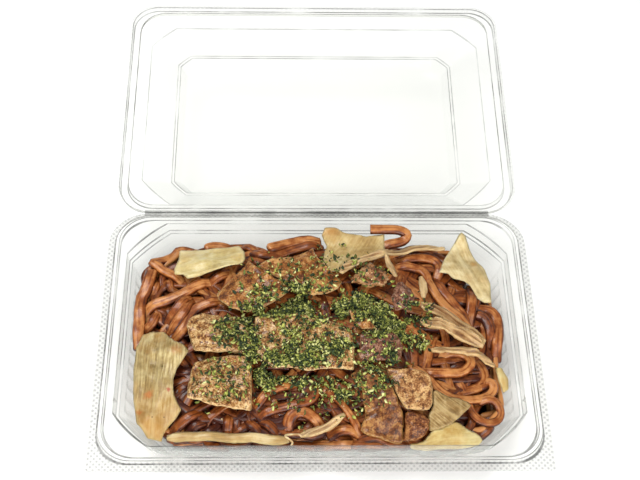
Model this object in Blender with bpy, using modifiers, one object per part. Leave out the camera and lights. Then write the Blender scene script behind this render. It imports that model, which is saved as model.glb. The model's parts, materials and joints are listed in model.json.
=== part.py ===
"""Yaki udon in its clear hinged food pack.

The tray and the lid are thin formed sheets joined by one living hinge along
the rear edge.  The food is one solid heap of noodles with the larger toppings
lying on it, each a solid of its own.  Metres, +Z up, +Y away from the front.
"""
import math

import bpy
import numpy as np
from mathutils import Vector
from mathutils.geometry import delaunay_2d_cdt

for old in list(bpy.data.objects):
    bpy.data.objects.remove(old, do_unlink=True)

MM = 0.001
RNG = np.random.default_rng(17)

# ---------------------------------------------------------------- dimensions
# All in millimetres.  Origin: centre of the tray's underside.
SHEET = 0.5                 # wall of tray and lid
GAP = 0.3                   # between touching pieces
TRAY_HALF_X = 100.0         # flange, square at the front corners
TRAY_FRONT_Y = -68.5
TRAY_REAR_Y = 68.2
FLANGE_Z = 26.0             # top face of the flange
RIDGE_H = 2.0               # raised ring that the lid's channel goes over
STEP_Z = 20.8               # small step in the wall, under the rim
BASE_Z = 0.5                # inner face of the base
HINGE_Y = 68.5
HINGE_Z = FLANGE_Z + 0.15
LID_HALF_X = 98.8
LID_NEAR = 0.3              # distances from the hinge line along the lid
LID_FAR = 135.2
LID_STEP_DEPTH = 9.3        # first wall of the lid
LID_DEPTH = 14.7            # roof panel
LID_OPEN_TILT = math.radians(4.0)   # the open lid stands this far above level

HEAP_EDGE_Z = 16.5          # noodle heap at the walls
HEAP_RISE = 12.5            # and how far it rises in the middle
HEAP_HALF_X = 87.5
HEAP_FRONT_Y = -55.5
HEAP_REAR_Y = 59.0

# ----------------------------------------------------------------- materials


def material(name, rgba, roughness, transmission=0.0):
    """A plain Principled material."""
    mat = bpy.data.materials.new(name)
    mat.use_nodes = True
    bsdf = mat.node_tree.nodes["Principled BSDF"]
    bsdf.inputs["Base Color"].default_value = rgba
    bsdf.inputs["Roughness"].default_value = roughness
    bsdf.inputs["Transmission Weight"].default_value = transmission
    mat.diffuse_color = rgba
    return mat


CLEAR = material("clear_sheet", (0.93, 0.95, 0.94, 1.0), 0.12, 0.9)
NOODLE = material("fried_noodle", (0.30, 0.11, 0.035, 1.0), 0.35)
CABBAGE = material("soft_cabbage", (0.62, 0.56, 0.26, 1.0), 0.35)
PORK = material("fried_pork", (0.48, 0.25, 0.11, 1.0), 0.5)
SPROUT = material("bean_sprout", (0.66, 0.50, 0.30, 1.0), 0.35)

# --------------------------------------------------------------- collections


def collection(name):
    """A collection linked to the scene."""
    col = bpy.data.collections.new(name)
    bpy.context.scene.collection.children.link(col)
    return col


PACK = collection("pack")
FOOD = collection("food")


def solid(name, verts, faces, mat, col):
    """Links a mesh object built from millimetre vertices."""
    mesh = bpy.data.meshes.new(name)
    mesh.from_pydata([(v[0] * MM, v[1] * MM, v[2] * MM) for v in verts], [],
                     [tuple(f) for f in faces])
    mesh.validate()
    mesh.update()
    mesh.materials.append(mat)
    obj = bpy.data.objects.new(name, mesh)
    col.objects.link(obj)
    return obj


# --------------------------------------------------------------------- rings
CORNER_STEPS = 6            # segments round each corner
SIDE_STEPS = 2              # segments along each straight side


def ring(half_x, y0, y1, cut0, cut1, roundness=0.0):
    """Points of a rectangle with cut or rounded corners, anticlockwise.

    cut0 belongs to the two corners at y0, cut1 to the two at y1.  roundness
    blends from a straight chamfer (0) to a quarter circle (1).
    """
    corners = [(half_x, y0, cut0, -90.0, 0.0), (half_x, y1, cut1, 0.0, 90.0),
               (-half_x, y1, cut1, 90.0, 180.0), (-half_x, y0, cut0, 180.0, 270.0)]
    points = []
    for cx, cy, cut, a0, a1 in corners:
        ox = cx - math.copysign(cut, cx)
        oy = cy + cut if cy == y0 else cy - cut
        first = (ox + cut * math.cos(math.radians(a0)), oy + cut * math.sin(math.radians(a0)))
        last = (ox + cut * math.cos(math.radians(a1)), oy + cut * math.sin(math.radians(a1)))
        for k in range(CORNER_STEPS + 1):
            t = k / CORNER_STEPS
            a = math.radians(a0 + (a1 - a0) * t)
            arc = (ox + cut * math.cos(a), oy + cut * math.sin(a))
            flat = (first[0] + (last[0] - first[0]) * t, first[1] + (last[1] - first[1]) * t)
            points.append((flat[0] + (arc[0] - flat[0]) * roundness,
                           flat[1] + (arc[1] - flat[1]) * roundness))
    out = []
    per = CORNER_STEPS + 1
    for c in range(4):
        chunk = points[c * per:(c + 1) * per]
        out += chunk
        a, b = chunk[-1], points[((c + 1) % 4) * per]
        for k in range(1, SIDE_STEPS):
            t = k / SIDE_STEPS
            out.append((a[0] + (b[0] - a[0]) * t, a[1] + (b[1] - a[1]) * t))
    return out


def loft(rings):
    """Joins rings of (points, z) from the outer edge to the middle."""
    verts, faces = [], []
    n = len(rings[0][0])
    for pts, z in rings:
        verts += [(x, y, z) for x, y in pts]
    for r in range(len(rings) - 1):
        for k in range(n):
            j = (k + 1) % n
            faces.append((r * n + k, r * n + j, (r + 1) * n + j, (r + 1) * n + k))
    last = (len(rings) - 1) * n
    faces.append(tuple(last + k for k in range(n)))
    return verts, faces


def sheet_solid(name, verts, faces, mat, col):
    """A sheet thickened away from its upper face by a Solidify modifier."""
    obj = solid(name, verts, faces, mat, col)
    mod = obj.modifiers.new("thickness", "SOLIDIFY")
    mod.thickness = SHEET * MM
    mod.offset = -1.0
    mod.use_even_offset = True
    mod.use_quality_normals = True
    return obj


# ---------------------------------------------------------------------- tray
TRAY_RINGS = [
    (ring(TRAY_HALF_X, TRAY_FRONT_Y, TRAY_REAR_Y, 1.5, 18.0, 1.0), FLANGE_Z),
    (ring(96.8, -64.9, 66.3, 15.5, 16.0, 1.0), FLANGE_Z),
    (ring(96.3, -64.4, 65.9, 15.2, 15.6, 1.0), FLANGE_Z + RIDGE_H),
    (ring(94.6, -62.8, 64.6, 14.4, 14.6, 1.0), FLANGE_Z + RIDGE_H),
    (ring(94.1, -62.3, 64.1, 14.2, 14.4, 1.0), FLANGE_Z),
    (ring(90.5, -56.3, 62.2, 16.2, 18.0, 0.12), FLANGE_Z),
    (ring(89.8, -56.1, 61.5, 16.3, 18.0, 0.12), STEP_Z + 0.6),
    (ring(88.4, -55.9, 60.1, 16.6, 17.4, 0.12), STEP_Z),
    (ring(81.0, -49.5, 52.5, 15.0, 15.0, 0.15), 3.0),
    (ring(79.4, -47.9, 50.9, 14.5, 14.5, 0.15), 1.1),
    (ring(77.4, -45.9, 48.9, 14.0, 14.0, 0.15), BASE_Z),
]
tray_verts, tray_faces = loft(TRAY_RINGS)
tray = sheet_solid("tray", tray_verts, tray_faces, CLEAR, PACK)

# ----------------------------------------------------------------------- lid
LID_RINGS = [
    (ring(LID_HALF_X, LID_NEAR, LID_FAR, 16.5, 14.0, 1.0), 0.0),
    (ring(97.5, 1.2, 133.9, 15.6, 13.2, 1.0), 0.0),
    (ring(97.1, 1.6, 133.5, 15.3, 13.0, 1.0), -2.6),
    (ring(93.7, 4.5, 130.7, 13.4, 13.4, 1.0), -2.6),
    (ring(93.3, 4.9, 130.3, 13.2, 13.2, 1.0), 0.0),
    (ring(86.6, 5.3, 118.8, 14.5, 12.5, 0.12), 0.0),
    (ring(73.0, 17.0, 107.6, 7.5, 6.5, 0.12), -LID_STEP_DEPTH),
    (ring(71.6, 18.4, 106.2, 6.9, 6.0, 0.12), -LID_STEP_DEPTH),
    (ring(67.4, 22.4, 102.6, 5.5, 5.0, 0.12), -LID_DEPTH),
]


def lid_point(x, s, n):
    """From the lid's own plane to the pack: x, distance from the hinge, height."""
    n -= 0.15
    c, k = math.cos(LID_OPEN_TILT), math.sin(LID_OPEN_TILT)
    return (x, HINGE_Y + s * c - n * k, HINGE_Z + s * k + n * c)


lid_verts, lid_faces = loft(LID_RINGS)
lid_verts = [lid_point(*v) for v in lid_verts]
lid = sheet_solid("lid", lid_verts, lid_faces, CLEAR, PACK)

# --------------------------------------------------------------- support map
# Height of whatever lies below, on a one millimetre grid.
MAP_X = np.arange(-98.0, 98.5, 1.0)
MAP_Y = np.arange(-66.0, 66.5, 1.0)
SUPPORT = np.full((len(MAP_X), len(MAP_Y)), -50.0)


def triangle_cells(a, b, c, spread=0.12):
    """Grid cells in and just around a plan triangle, with their weights."""
    i0 = max(int(math.floor(min(a[0], b[0], c[0]) - MAP_X[0])), 0)
    i1 = min(int(math.ceil(max(a[0], b[0], c[0]) - MAP_X[0])), len(MAP_X) - 1)
    j0 = max(int(math.floor(min(a[1], b[1], c[1]) - MAP_Y[0])), 0)
    j1 = min(int(math.ceil(max(a[1], b[1], c[1]) - MAP_Y[0])), len(MAP_Y) - 1)
    if i1 < i0 or j1 < j0:
        return None
    gx, gy = np.meshgrid(MAP_X[i0:i1 + 1], MAP_Y[j0:j1 + 1], indexing="ij")
    det = (b[1] - c[1]) * (a[0] - c[0]) + (c[0] - b[0]) * (a[1] - c[1])
    if abs(det) < 1e-9:
        return None
    w0 = ((b[1] - c[1]) * (gx - c[0]) + (c[0] - b[0]) * (gy - c[1])) / det
    w1 = ((c[1] - a[1]) * (gx - c[0]) + (a[0] - c[0]) * (gy - c[1])) / det
    w2 = 1.0 - w0 - w1
    inside = (w0 > -spread) & (w1 > -spread) & (w2 > -spread)
    ii, jj = np.nonzero(inside)
    if len(ii) == 0:
        return None
    return ii + i0, jj + j0, w0[ii, jj], w1[ii, jj], w2[ii, jj]


def stamp(verts, tris):
    """Raises the support map to a surface of triangles."""
    for t in tris:
        a, b, c = (verts[k] for k in t)
        cells = triangle_cells(a, b, c, 0.28)
        if cells is None:
            continue
        ii, jj, w0, w1, w2 = cells
        z = np.minimum(w0 * a[2] + w1 * b[2] + w2 * c[2], max(a[2], b[2], c[2]))
        SUPPORT[ii, jj] = np.maximum(SUPPORT[ii, jj], z)


def fan(faces):
    """Splits faces into triangles round their first corner."""
    return [(f[0], f[k], f[k + 1]) for f in faces for k in range(1, len(f) - 1)]


stamp(tray_verts, fan(tray_faces))


def ceiling(x, y):
    """Height of the closed lid's inner face over a point of the tray."""
    s = HINGE_Y - y
    z0 = HINGE_Z + 0.15
    dx = abs(x)

    def inside(half_x, s0, s1, cut0, cut1):
        side = min(half_x - dx, s - s0, s1 - s)
        near = (half_x - dx) + (s - s0) - cut0
        far = (half_x - dx) + (s1 - s) - cut1
        return min(side, near / math.sqrt(2.0), far / math.sqrt(2.0))

    rim = inside(86.6, 5.3, 118.8, 14.5, 12.5)
    step = inside(71.6, 18.4, 106.2, 6.9, 6.0)
    if step > 0.0:
        return z0 + LID_STEP_DEPTH + min(step / 4.0, 1.0) * (LID_DEPTH - LID_STEP_DEPTH)
    if rim > 0.0:
        return z0 + min(rim / 11.7, 1.0) * LID_STEP_DEPTH
    return z0


# -------------------------------------------------------------- draped slabs


def resample(points, step, closed, bend=0.5):
    """Evenly spaced points along a curve through the given ones.

    bend is 0 for straight runs between the points and 1 for a full spline.
    """
    pts = [Vector(p) for p in points]
    n = len(pts)
    dense = []
    spans = n if closed else n - 1
    for k in range(spans):
        p1, p2 = pts[k], pts[(k + 1) % n]
        p0 = pts[(k - 1) % n] if closed or k > 0 else p1
        p3 = pts[(k + 2) % n] if closed or k < n - 2 else p2
        for q in range(8):
            t = q / 8.0
            curve = 0.5 * (2.0 * p1 + (p2 - p0) * t
                           + (2.0 * p0 - 5.0 * p1 + 4.0 * p2 - p3) * t * t
                           + (3.0 * p1 - p0 - 3.0 * p2 + p3) * t * t * t)
            dense.append(p1.lerp(p2, t).lerp(curve, bend))
    if not closed:
        dense.append(pts[-1].copy())
    line = dense + [dense[0]] if closed else dense
    length = sum((line[k + 1] - line[k]).length for k in range(len(line) - 1))
    count = max(int(round(length / step)), 6 if closed else 3)
    out, run, k = [], 0.0, 0
    total = count if closed else count + 1
    for m in range(total):
        target = length * m / count
        while k < len(line) - 2 and run + (line[k + 1] - line[k]).length < target:
            run += (line[k + 1] - line[k]).length
            k += 1
        seg = (line[k + 1] - line[k]).length
        t = min(max((target - run) / seg, 0.0), 1.0) if seg > 1e-9 else 0.0
        out.append(line[k].lerp(line[k + 1], t))
    return out


def divide(outline, step):
    """Splits the straight runs of an outline evenly and keeps its corners."""
    out = []
    for k, (x, y) in enumerate(outline):
        a, b = Vector((x, y)), Vector(outline[(k + 1) % len(outline)])
        parts = max(int(round((b - a).length / step)), 1)
        out += [a.lerp(b, q / parts) for q in range(parts)]
    return out


def plan_mesh(outline, step):
    """Plan triangles filling an outline, and which points lie on its edge."""
    edge = [Vector((p[0], p[1])) for p in outline]
    area = sum(a.x * b.y - b.x * a.y for a, b in zip(edge, edge[1:] + edge[:1]))
    if area < 0.0:
        edge.reverse()
    xs = [p.x for p in edge]
    ys = [p.y for p in edge]
    inner = []
    row = 0
    y = min(ys) + step * 0.5
    while y < max(ys):
        x = min(xs) + step * (0.5 if row % 2 else 0.0)
        while x < max(xs):
            p = Vector((x, y))
            if covers(edge, p) and min((p - q).length for q in edge) > 0.62 * step:
                inner.append(p)
            x += step
        y += step * 0.87
        row += 1
    n = len(edge)
    loops = [(k, (k + 1) % n) for k in range(n)]
    res = delaunay_2d_cdt(edge + inner, loops, [list(range(n))], 1, 1e-6)
    pts, tris = res[0], [tuple(f) for f in res[2]]
    flat = []
    for f in tris:
        a, b, c = (pts[k] for k in f[:3])
        turn = (b.x - a.x) * (c.y - a.y) - (b.y - a.y) * (c.x - a.x)
        flat.append(f if turn > 0.0 else tuple(reversed(f)))
    return pts, flat, n


def covers(edge, p):
    """True where a point is inside a plan outline."""
    inside = False
    n = len(edge)
    for k in range(n):
        a, b = edge[k], edge[(k + 1) % n]
        if (a.y > p.y) != (b.y > p.y):
            if p.x < a.x + (p.y - a.y) * (b.x - a.x) / (b.y - a.y):
                inside = not inside
    return inside


def drape(pts, tris, z, clear):
    """Lifts plan points until no triangle dips into what lies below."""
    z = np.array(z)
    for _ in range(40):
        worst = 0.0
        for t in tris:
            a, b, c = ((pts[k].x, pts[k].y) for k in t)
            cells = triangle_cells(a, b, c)
            if cells is None:
                continue
            ii, jj, w0, w1, w2 = cells
            w = np.stack([w0, w1, w2])
            have = w[0] * z[t[0]] + w[1] * z[t[1]] + w[2] * z[t[2]]
            need = SUPPORT[ii, jj] + clear - have
            m = int(np.argmax(need))
            if need[m] > 0.02:
                worst = max(worst, need[m])
                for q in range(3):
                    share = max(w[q][m], 0.0)
                    z[t[q]] += need[m] * (0.35 + 0.65 * share)
        if worst < 0.03:
            break
    return z


def slab(name, outline, thick, mat, step=4.5, lift=None, rim=0.55):
    """A topping lying on what is below it, thinner towards its edge.

    lift(x, y) raises a part that stands up from the heap; rim is the edge
    thickness as a share of the middle.
    """
    edge = divide(outline, step)
    pts, tris, n_edge = plan_mesh(edge, step)
    start = []
    for p in pts:
        i = int(round(min(max(p.x - MAP_X[0], 0), len(MAP_X) - 1)))
        j = int(round(min(max(p.y - MAP_Y[0], 0), len(MAP_Y) - 1)))
        start.append(SUPPORT[i, j] + GAP + (lift(p.x, p.y) if lift else 0.0))
    low = drape(pts, tris, start, GAP + 0.05)
    high = []
    for k, p in enumerate(pts):
        to_edge = min((p - q).length for q in edge)
        share = rim + (1.0 - rim) * min(to_edge / (1.2 * step), 1.0)
        bump = 1.0 + 0.10 * math.sin(0.9 * p.x + 1.7 * p.y)
        high.append(low[k] + thick * share * bump)
        roof = ceiling(p.x, p.y) - 0.6
        if high[k] > roof:
            raise ValueError(f"{name} meets the closed lid at {p.x:.0f}, {p.y:.0f}: "
                             f"{high[k]:.1f} over {roof:.1f}")
    return close_slab(name, pts, tris, n_edge, low, high, mat)


def close_slab(name, pts, tris, n_edge, low, high, mat):
    """Joins the lower and upper faces of a slab into one closed solid."""
    n = len(pts)
    verts = [(p.x, p.y, low[k]) for k, p in enumerate(pts)]
    verts += [(p.x, p.y, high[k]) for k, p in enumerate(pts)]
    faces = [tuple(reversed(t)) for t in tris]
    faces += [tuple(n + k for k in t) for t in tris]
    faces += [(k, (k + 1) % n_edge, n + (k + 1) % n_edge, n + k) for k in range(n_edge)]
    obj = solid(name, verts, faces, mat, FOOD)
    stamp(verts, [tuple(n + k for k in t) for t in tris])
    return obj


def ribbon(path, width, ends=0.5):
    """Outline of a strip of given width along a curve, tapering at its ends."""
    mid = resample(path, 4.0, False, 1.0)
    left, right = [], []
    n = len(mid)
    for k, p in enumerate(mid):
        a, b = mid[max(k - 1, 0)], mid[min(k + 1, n - 1)]
        d = (b - a).normalized()
        side = Vector((-d.y, d.x)) * (0.5 * width * (ends if k in (0, n - 1) else 1.0))
        left.append(p + side)
        right.append(p - side)
    return right + left[::-1]


def strip(name, path, width, thick, mat, lift=None, ends=0.5):
    """A sprout, rib or leaf strip lying along a curve."""
    return slab(name, ribbon(path, width, ends), thick, mat, step=4.0, lift=lift,
                rim=0.85)


# --------------------------------------------------------------- noodle heap


def heap_height(x, y):
    """Upper face of the noodle heap."""
    u = abs(x) / HEAP_HALF_X
    v = (HEAP_REAR_Y - y) / (HEAP_REAR_Y - HEAP_FRONT_Y) * 2.0 - 1.0
    dome = max(1.0 - u ** 2.8, 0.0) * max(1.0 - abs(v) ** 2.8, 0.0)
    waves = (0.9 * math.sin(0.21 * x + 0.33 * y) + 0.7 * math.sin(0.37 * x - 0.24 * y + 1.0)
             + 0.6 * math.sin(0.12 * x + 0.51 * y + 2.0))
    return HEAP_EDGE_Z + HEAP_RISE * dome ** 0.75 + waves


def build_heap():
    """One solid out to the uneven outline of the noodles."""
    outline = []
    for x, y in ring(HEAP_HALF_X - 1.2, HEAP_FRONT_Y + 1.0, HEAP_REAR_Y - 1.4, 16.5, 16.5, 0.3):
        outline.append((x, y))
    edge = resample(outline, 6.0, True)
    edge = [p * (1.0 - 0.006 - 0.010 * (1.0 + math.sin(1.9 * k)) - RNG.uniform(0.0, 0.008))
            for k, p in enumerate(edge)]
    pts, tris, n_edge = plan_mesh(edge, 7.0)
    start = []
    for p in pts:
        i, j = int(round(p.x - MAP_X[0])), int(round(p.y - MAP_Y[0]))
        start.append(SUPPORT[i, j] + GAP)
    low = drape(pts, tris, start, GAP + 0.05)
    high = [max(heap_height(p.x, p.y), low[k] + 0.9) for k, p in enumerate(pts)]
    return close_slab("noodle_heap", pts, tris, n_edge, low, high, NOODLE)


heap = build_heap()


def stand(y0, slope):
    """Lift for a leaf that stands up against the rear wall beyond y0."""
    return lambda _x, y: max(y - y0, 0.0) * slope


# ------------------------------------------------------------------- cabbage
slab("cabbage_rear_left",
     [(-66.3, 48.6), (-58, 49.2), (-48, 49.6), (-37.7, 49.6), (-35, 45.5), (-34.6, 41),
      (-36, 38.6), (-46, 34.4), (-55.5, 31.8), (-61.6, 30.3), (-64, 33.6), (-68, 34.4),
      (-68.4, 37.5), (-66.6, 42.5)], 1.6, CABBAGE)
slab("cabbage_rear_middle",
     [(2.2, 40), (5.6, 31.4), (10, 32.6), (15, 35), (22, 40), (31, 43.5), (32.6, 49),
      (32.4, 56.6), (28, 56), (23, 55.4), (18, 56.2), (13.5, 57.8), (9, 59), (3.6, 59),
      (1.8, 55), (4.2, 49.5), (3, 45)], 1.6, CABBAGE, lift=stand(49.5, 0.95))
slab("cabbage_rear_right",
     [(57.4, 34.2), (60, 42), (64, 49), (68, 55.5), (70, 58), (71.6, 56.5), (73.5, 50),
      (76.5, 44.5), (80, 38.5), (82, 30), (81.4, 19.4), (78, 19.4), (75, 22), (71.5, 28),
      (69, 30), (64, 31.2), (61.5, 33.6)], 1.5, CABBAGE, lift=stand(47.0, 0.78))
slab("cabbage_front_left",
     [(-80.7, 2.4), (-76, 3), (-70.6, 2), (-65.8, -3.6), (-61.4, -5.6), (-58.8, -9.4),
      (-61, -14), (-63.8, -18), (-65, -22.5), (-65, -27), (-64.3, -31), (-62.5, -35),
      (-60.8, -37.8), (-63, -41.5), (-66.2, -45.5), (-68.4, -48.4), (-69.2, -51.4), (-75.4, -49.8),
      (-80.5, -43.5), (-83, -31), (-84, -16), (-83.3, -5)], 1.6, CABBAGE)
strip("cabbage_front_strip",
      [(-67, -49.9), (-56, -49.6), (-46, -49.9), (-36, -50.6), (-24, -51), (-13.5, -51.3)],
      4.6, 1.6, CABBAGE)
slab("cabbage_front_right",
     [(50.6, -30.4), (56.5, -33.2), (61.3, -34), (65.8, -36), (63.3, -38.7), (58.4, -43),
      (56.3, -44.8), (52, -46.6), (48.2, -47.2), (48, -43.8), (48.8, -40.4), (50.6, -37)],
     1.5, CABBAGE, step=4.0)
slab("cabbage_front_yellow",
     [(39.6, -53.4), (45, -52.3), (47.4, -50.2), (49.2, -48.6), (52.8, -47.8), (56.6, -45.8),
      (58.8, -43.9), (61.8, -45.2), (65.5, -47.2), (68.3, -48.8), (70, -50.8), (68.5, -52.8),
      (62, -54.2), (52, -54.6), (45, -54.8), (40, -54.6)], 1.5, CABBAGE, step=4.0)
slab("cabbage_right_edge",
     [(79.8, -14.5), (83, -14.5), (85.6, -20), (85, -26), (82.2, -28), (80.8, -22)],
     1.4, CABBAGE, step=3.5)

# ---------------------------------------------------------------------- pork
slab("pork_rear_right",
     [(-29, 35.5), (-25.5, 38), (-19, 40.8), (-10, 44.4), (-2.3, 48.2), (-0.8, 42.5),
      (1.6, 38.3), (4.2, 33.6), (7.4, 29.8), (11, 26.5), (9.6, 22.6), (5, 19.4),
      (-3, 17), (-12, 22.5), (-20, 28.5)], 3.0, PORK)
slab("pork_rear_left",
     [(-33.2, 40), (-34.8, 36.4), (-40, 30.4), (-45.3, 24), (-47.4, 20.4), (-46.6, 17),
      (-44, 14.2), (-40, 11), (-33, 9.6), (-25, 12), (-17, 16.5), (-12.8, 21.8), (-17, 24.6),
      (-24, 30), (-28.6, 34), (-31.4, 38)], 2.6, PORK)
slab("pork_left",
     [(-60, 3), (-58, 7.6), (-53.6, 10.2), (-46, 7.4), (-40, 4.6), (-34, 1), (-31.6, -5),
      (-31.6, -11.8), (-38, -11.8), (-46, -11.4), (-52, -11.2), (-56, -10), (-58, -4.5)],
     3.0, PORK)
slab("pork_front_left",
     [(-57.6, -19.5), (-55.8, -15.4), (-50, -13.4), (-41, -13.8), (-31, -14.6), (-30.2, -21),
      (-30, -32), (-30.2, -39.3), (-40.5, -38.7), (-47, -37.7), (-55, -34.7), (-58.7, -33.3),
      (-58.9, -27)], 3.0, PORK)
slab("pork_middle",
     [(-29, 5.2), (-22, 7.2), (-10, 6.5), (1, 5.5), (8.6, 2.3), (14.6, -3.6), (15.2, -12),
      (14.6, -21), (4, -21), (-8, -20.8), (-21, -20.5), (-27.6, -14), (-29, -5)], 3.2, PORK)
slab("pork_rear_lump",
     [(14.6, 25), (15, 28.6), (18.4, 31.2), (21, 36.2), (24.3, 37.8), (28, 35.8), (33, 32),
      (33.4, 27), (29.5, 22.6), (21, 22.6)], 4.2, PORK, step=4.0)
slab("pork_right_lump",
     [(34.4, 22), (36.4, 26.4), (40, 27), (43.4, 22), (44.6, 15), (41.4, 9.6), (35, 10.4),
      (33, 16)], 3.6, PORK, step=4.0)
slab("pork_middle_small",
     [(12.8, 10.4), (17, 9.6), (23, 5), (26.6, 0), (20, -0.4), (15.4, 3.8)], 2.4, PORK,
     step=3.5)
slab("pork_middle_right",
     [(17.6, -3.4), (26, -2.8), (35, -3.8), (37.4, -10), (36, -17.2), (26, -18),
      (17.6, -17)], 3.4, PORK)
slab("pork_front_fold",
     [(14.5, -23.4), (18.3, -22), (23, -21.6), (28.4, -21.4), (29.2, -25), (30.4, -30),
      (32.6, -35), (35, -40), (35.2, -45), (34.6, -51.8), (29.5, -51.6), (24, -50.2),
      (18.3, -48), (20.3, -43.5), (20.7, -40.5), (20, -35), (19.2, -30), (16.8, -27)],
     3.0, PORK)
slab("pork_front_right",
     [(30.6, -20.6), (35, -20.8), (43.5, -21.4), (46.8, -22.4), (48.4, -25), (49.2, -30),
      (48.8, -36), (47, -38.6), (42, -39), (38, -38.4), (35.2, -34.4), (33.1, -29.6),
      (31.6, -24.6)], 3.6, PORK)
slab("pork_front_dark",
     [(38, -41.2), (42, -41.6), (45.4, -42), (46.5, -44.5), (46.4, -47.5), (44.8, -49.7),
      (41.8, -51.4), (37.2, -51.9), (37.6, -45.5)], 3.4, PORK, step=4.0)

# ---------------------------------------------------- cabbage ribs and sprouts
strip("cabbage_rib_upper", [(46.8, 13.2), (52.5, 11.8), (60.5, 7.2), (69, 0.4), (76, -4.2)], 6.2,
      2.2, SPROUT)
strip("cabbage_rib_lower", [(46, 5.6), (57, 2), (66, -3.2), (74.6, -7.4)], 5.6, 2.2, SPROUT)
strip("cabbage_rib_front", [(50, -11), (58, -9.8), (66, -10.2), (74, -12), (79.5, -16)], 4.0,
      2.0, SPROUT)
strip("sprout_rear",
      [(10.4, 29.5), (13, 33.4), (18, 37), (24, 39.8), (31, 43), (38, 46), (46, 48.6),
       (54, 50), (61.5, 50.2)], 4.4, 2.4, SPROUT)
strip("sprout_short", [(32, 41), (34, 35), (36.4, 29)], 3.4, 2.4, SPROUT)
strip("sprout_right", [(48, 30), (49, 23.5), (48.5, 17.5)], 4.0, 2.4, SPROUT)
strip("sprout_front", [(10.5, -41.5), (3.5, -46), (-3, -48.6), (-9, -49.8)], 3.8, 2.6, SPROUT)


# ---------------------------------------------------- noodle end that stands up
def sweep(name, path, half_w, half_h, sides, mat):
    """A flattened round strip along a curve in space, closed at both ends."""
    mid = resample(path, 3.6, False, 1.0)
    n = len(mid)
    verts, faces = [], []
    for k, p in enumerate(mid):
        along = (mid[min(k + 1, n - 1)] - mid[max(k - 1, 0)]).normalized()
        side = along.cross(Vector((0.0, 0.35, 1.0))).normalized()
        up = side.cross(along).normalized()
        for q in range(sides):
            a = 2.0 * math.pi * q / sides
            verts.append(p + side * (half_w * math.cos(a)) + up * (half_h * math.sin(a)))
    for k in range(n - 1):
        for q in range(sides):
            r = (q + 1) % sides
            faces.append((k * sides + r, k * sides + q, (k + 1) * sides + q, (k + 1) * sides + r))
    faces.append(tuple(range(sides)))
    faces.append(tuple((n - 1) * sides + q for q in reversed(range(sides))))
    return solid(name, verts, faces, mat, FOOD)


HOOK_FOOT = (34.5, 51.8)
foot_i = int(round(HOOK_FOOT[0] - MAP_X[0]))
foot_j = int(round(HOOK_FOOT[1] - MAP_Y[0]))
foot_z = float(SUPPORT[foot_i, foot_j])
sweep("noodle_hook",
      [(HOOK_FOOT[0], HOOK_FOOT[1], foot_z + 2.0), (38.5, 52.4, foot_z + 1.8),
       (41.6, 53.6, foot_z + 1.9), (43.3, 55.6, foot_z + 2.9), (42.6, 57.4, 26.3),
       (39.0, 58.4, 27.3), (34.0, 58.4, 27.7), (25.0, 58.4, 27.7)],
      2.3, 1.7, 10, NOODLE)
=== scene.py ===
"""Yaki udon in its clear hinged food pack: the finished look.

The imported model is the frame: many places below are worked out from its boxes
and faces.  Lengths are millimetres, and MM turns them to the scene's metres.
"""

import json
import logging
import math
from dataclasses import dataclass, field
from enum import Enum
from functools import partial
from typing import Any, Callable, ClassVar, Optional, Sequence, Union

import bpy
import numpy as np
from mathutils import Matrix, Vector, noise
from mathutils.bvhtree import BVHTree
from mathutils.geometry import delaunay_2d_cdt


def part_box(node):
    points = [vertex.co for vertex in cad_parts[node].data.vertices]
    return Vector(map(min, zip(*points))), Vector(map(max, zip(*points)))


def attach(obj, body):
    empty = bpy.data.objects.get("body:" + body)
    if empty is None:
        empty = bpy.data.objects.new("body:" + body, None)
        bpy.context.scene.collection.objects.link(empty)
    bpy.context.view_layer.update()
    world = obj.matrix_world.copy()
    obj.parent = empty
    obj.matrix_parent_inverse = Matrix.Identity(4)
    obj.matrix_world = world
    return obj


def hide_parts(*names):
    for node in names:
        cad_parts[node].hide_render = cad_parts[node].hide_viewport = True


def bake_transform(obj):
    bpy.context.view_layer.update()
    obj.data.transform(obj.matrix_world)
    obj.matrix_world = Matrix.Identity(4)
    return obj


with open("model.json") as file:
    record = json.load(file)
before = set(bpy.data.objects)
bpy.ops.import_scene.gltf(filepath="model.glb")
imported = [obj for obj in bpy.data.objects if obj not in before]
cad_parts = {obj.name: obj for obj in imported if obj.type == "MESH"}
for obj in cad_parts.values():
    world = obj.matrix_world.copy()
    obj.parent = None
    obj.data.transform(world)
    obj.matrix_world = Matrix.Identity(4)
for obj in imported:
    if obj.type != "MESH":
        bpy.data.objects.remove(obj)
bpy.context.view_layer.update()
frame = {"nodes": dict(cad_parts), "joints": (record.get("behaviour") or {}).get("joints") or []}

MM = 0.001
ABOVE_ALL = 200.0        # millimetres; rays that look down start here
LOG = logging.getLogger("yaki_udon")
Colour = tuple[float, float, float, float]
Feeds = Union[dict[Any, Any], Sequence[Any]]


class Body(Enum):
    """The two moving bodies of the pack."""

    TRAY = "tray"
    LID = "lid"


class Slot(Enum):
    """Material slots of the record."""

    SHEET = "clear_sheet"
    NOODLE = "fried_noodle"
    CABBAGE = "soft_cabbage"
    PORK = "fried_pork"
    SPROUT = "bean_sprout"


# ------------------------------------------------------------------ small tools


def linear(code: str) -> Colour:
    """Turns an sRGB hex colour to linear light.

    Args:
        code: A colour such as "#A0522D".
    Returns:
        Red, green, blue and an alpha of 1.
    """
    parts = [int(code[k:k + 2], 16) / 255.0 for k in (1, 3, 5)]
    red, green, blue = (c / 12.92 if c <= 0.04045 else ((c + 0.055) / 1.055) ** 2.4 for c in parts)
    return red, green, blue, 1.0


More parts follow.
